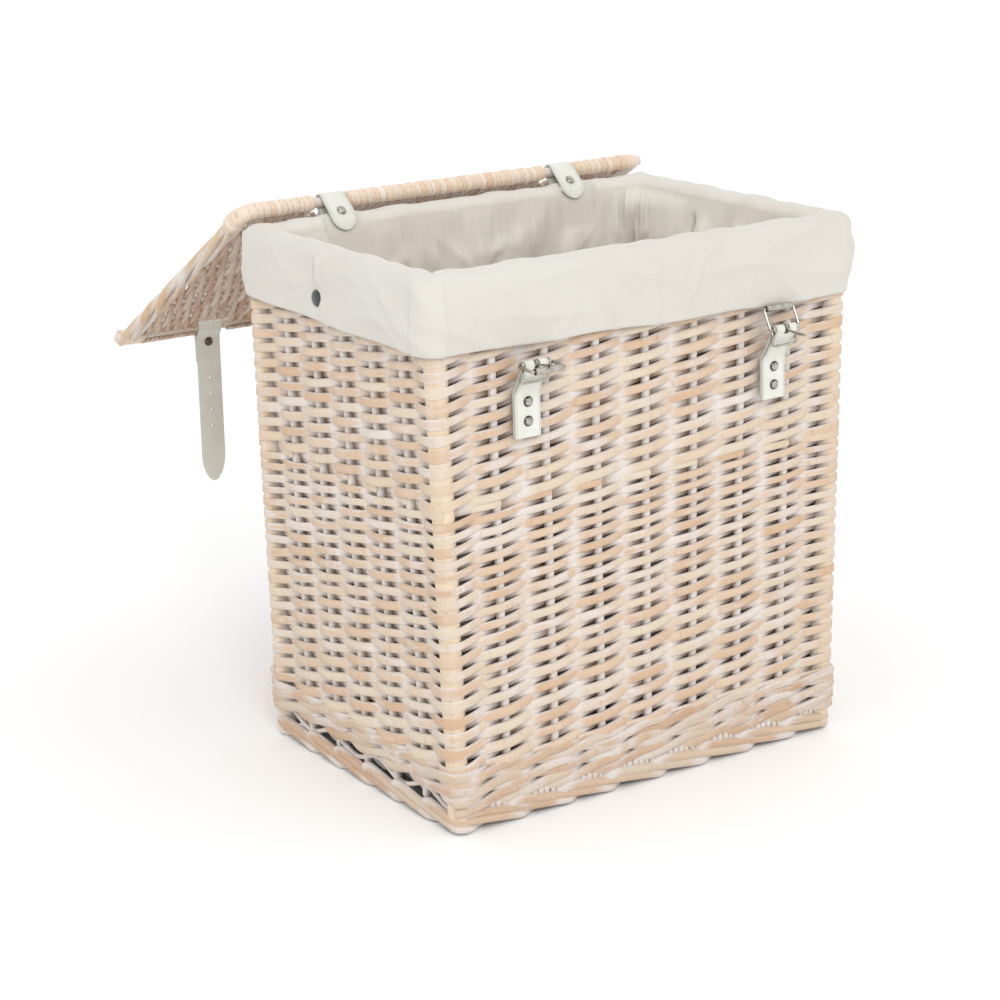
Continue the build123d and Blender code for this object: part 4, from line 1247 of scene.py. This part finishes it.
def wound(b, line, radius, seed, turn_width=6.0 * MM):
    """Split willow wound round a line of the lid: bands of uneven width, each a little rounded, one
    turn to a band."""
    rng = np.random.default_rng(seed)
    path, ways = opened(line), opened_way(ups(len(line)))
    run = np.concatenate([[0], np.cumsum(np.linalg.norm(np.diff(path, axis=0), axis=1))])
    bands, start = 200, -12 * MM
    edges = np.concatenate([[start], start + np.cumsum(rng.uniform(0.62, 1.3, bands) * turn_width)])
    tints = np.clip(rng.normal(0.5, 0.27, bands + 1), 0, 1)
    lifts = rng.normal(0, 0.3 * MM, bands + 1)
    a = np.linspace(0, 2 * np.pi, 28, endpoint=False)
    tangent = unit(np.gradient(path, axis=0))
    side = unit(np.cross(tangent, ways))
    up = np.cross(side, tangent)
    place_on = run[:, None] + turn_width * a[None, :] / (2 * np.pi)
    j = np.searchsorted(edges, place_on) - 1
    f = (place_on - edges[j]) / (edges[j + 1] - edges[j])
    edge = np.abs(2 * f - 1)
    r = np.broadcast_to(radius, run.shape)[:, None] + lifts[j] + 0.6 * MM * (1 - edge ** 3)
    r = r - 0.3 * MM * smooth((edge - 0.88) / 0.12)
    co = (path[:, None] + side[:, None] * (r * np.cos(a)[None])[..., None]
          + up[:, None] * (r * np.sin(a)[None])[..., None])
    grain = np.stack([a[None, :] * 7 * MM + 0 * f, f * 8 * MM, tints[j] * 3], -1)
    # Painted shade at the edges of each band, between two turns of the wrap.
    dark = smooth((edge - 0.84) / 0.1) * np.clip(1.6 * tints[(j * 7) % bands] - 0.35, 0.08, 0.6)
    b.closed(b.grid(co, tints[j], 1 - smooth((edge - 0.6) / 0.4), grain, painted_shade=dark))


def straight(x_low, x_high, count, s=0.0):
    """A line across the lid."""
    return np.array([[x, s, 0] for x in np.linspace(x_low, x_high, count)])


def lid_wrap():
    """Split willow round the back rod between the hinge straps, and round the front rod's ends."""
    b = Builder()
    gap_left, gap_right = 20 * MM, 15 * MM
    corner = [(-224, 14 + 3 * k, 0) for k in range(6, 0, -1)]
    corner += [(-224 + 14 * (1 - math.sin(a)), 14 * (1 - math.cos(a)), 0)
               for a in np.linspace(np.pi / 2, 0, 20)]
    lines = [np.concatenate([np.array(corner) * MM, straight(-209 * MM, -HINGE_X - gap_left, 70)]),
             straight(-HINGE_X + gap_right, HINGE_X - gap_left, 180),
             straight(HINGE_X + gap_right, 225 * MM, 90)]
    for i, line in enumerate(lines):
        line = resample(line, 0.8 * MM)[0]
        near = line[:, 1] / (20 * MM)
        radius = 6.8 * MM + 1.0 * MM * smooth(near)
        end = np.minimum(np.arange(len(line)), np.arange(len(line))[::-1]) * 0.8 * MM
        radius = radius - 1.2 * MM * (1 - smooth(end / (3 * MM)))
        wound(b, line, radius, 51 + i)
    for side in (-1, 1):
        line = straight(side * 206 * MM, side * 231 * MM, 40, LID_DEPTH)
        wound(b, line, 7.2 * MM, 55 + side, 3.6 * MM)
    b.build("lid_wrapping", "lid", skein_willow, "lid_hinge_wrap")


def lid_rods():
    """The two end rods and the six sticks that the lid is woven round."""
    rng = np.random.default_rng(61)
    b = Builder()
    x = np.linspace(-210 * MM, LID_X - 3 * MM, 120)
    line = np.stack([x, 0 * x, 0 * x], -1)
    b.tube(opened(line), opened_way(ups(len(x))), BACK_ROD_R, BACK_ROD_R, 0.3, 0.45, ring=24, square=1.0)
    b.build("lid_back_rod", "lid", stake_willow, "lid_hinge_rod")
    b = Builder()
    x = np.linspace(-LID_X - 1 * MM, LID_X + 1 * MM, 120)
    line = np.stack([x, 0 * x + LID_DEPTH, 0.3 * MM * np.sin(30 * x)], -1)
    b.tube(opened(line), opened_way(ups(len(x))), FRONT_ROD_R, FRONT_ROD_R, 0.5, 0.6, ring=24, square=1.0)
    b.build("lid_front_stick", "lid", stake_willow, "lid_front_rod")
    b = Builder()
    x = np.linspace(-206 * MM, 206 * MM, 100)
    for i in range(6):
        line = np.stack([x, 0 * x + STICK_PITCH * (i + 1) + 0.5 * MM * np.sin(14 * x + i), 0 * x], -1)
        b.tube(opened(line), opened_way(ups(len(x))), 1.9 * MM, 3.6 * MM, rng.uniform(0, 0.5), 0.3)
    b.build("lid_cross_sticks", "lid", stake_willow, "lid_sticks")


lid_weave()
lid_borders()
lid_wrap()
lid_rods()


def stud():
    """The press stud on the cuff: its domed head, and the socket behind it."""
    b = Builder()
    r, h = 7.5 * MM, 3 * MM
    seat = (stud_low.x + h, stud_y, stud_z)
    profile = [(1 * MM, 0), (r * 0.95, 0), (r, 0.25 * h), (r * 0.97, 0.55 * h)]
    profile += [(r * 0.94 * math.cos(a), 0.6 * h + 0.4 * h * math.sin(a)) for a in np.linspace(0, 1.5, 8)]
    turned(b, seat, (-1, 0, 0), profile, 40)
    b.build("stud_head", "root", stud_black, "liner_stud_cap")
    b = Builder()
    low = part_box("liner_stud_socket")[0]
    profile = [(1.9 * MM, 0), (5 * MM, 0), (5 * MM, 0.8 * MM), (4.2 * MM, 1.2 * MM), (2.2 * MM, 1.2 * MM)]
    turned(b, (low.x, stud_y, stud_z), (1, 0, 0), profile)
    b.build("stud_back", "root", stud_black, "liner_stud_socket")


stud()


# Stage -----------------------------------------------------------------------------------------------

def stage():
    """A white floor and even white surroundings."""
    mesh = bpy.data.meshes.new("floor")
    size = 12.0
    corners = [(-size, -size, 0), (size, -size, 0), (size, size, 0), (-size, size, 0)]
    mesh.from_pydata(corners, [], [(0, 1, 2, 3)])
    s = Shader("floor_white", Roughness=0.85, Specular_IOR_Level=0.1)
    s.bsdf.inputs["Base Color"].default_value = (0.93, 0.93, 0.93, 1)
    mesh.materials.append(s.material)
    floor = bpy.data.objects.new("floor", mesh)
    bpy.context.scene.collection.objects.link(floor)
    world = bpy.data.worlds.new("studio")
    world.use_nodes = True
    background = world.node_tree.nodes["Background"]
    background.inputs["Color"].default_value = (1, 1, 1, 1)
    background.inputs["Strength"].default_value = 1.09
    bpy.context.scene.world = world
    bpy.context.scene.view_settings.view_transform = "Standard"


def area_light(name, position, aim, size, power):
    light = bpy.data.lights.new(name, "AREA")
    light.shape = "DISK"
    light.size = size
    light.energy = power
    lamp = bpy.data.objects.new(name, light)
    lamp.location = position
    lamp.rotation_euler = (Vector(aim) - Vector(position)).to_track_quat("-Z", "Y").to_euler()
    bpy.context.scene.collection.objects.link(lamp)


def camera():
    """The camera at the photo's viewing angle."""
    azimuth, elevation, roll = -34.45, 16.53, -1.05
    data = bpy.data.cameras.new("camera")
    data.sensor_width = 36
    data.lens = 91.7
    seen_from = bpy.data.objects.new("camera", data)
    turn = Matrix.Rotation(math.radians(azimuth), 4, "Z")
    turn = turn @ Matrix.Rotation(math.radians(90 - elevation), 4, "X")
    turn = turn @ Matrix.Rotation(math.radians(roll), 4, "Z")
    seen_from.matrix_world = Matrix.Translation((-1.3359, -1.8647, 0.9128)) @ turn
    bpy.context.scene.collection.objects.link(seen_from)
    bpy.context.scene.camera = seen_from


stage()
area_light("key", (-1.2, -2.3, 1.9), (0, 0, 0.3), 1.0, 22)
camera()
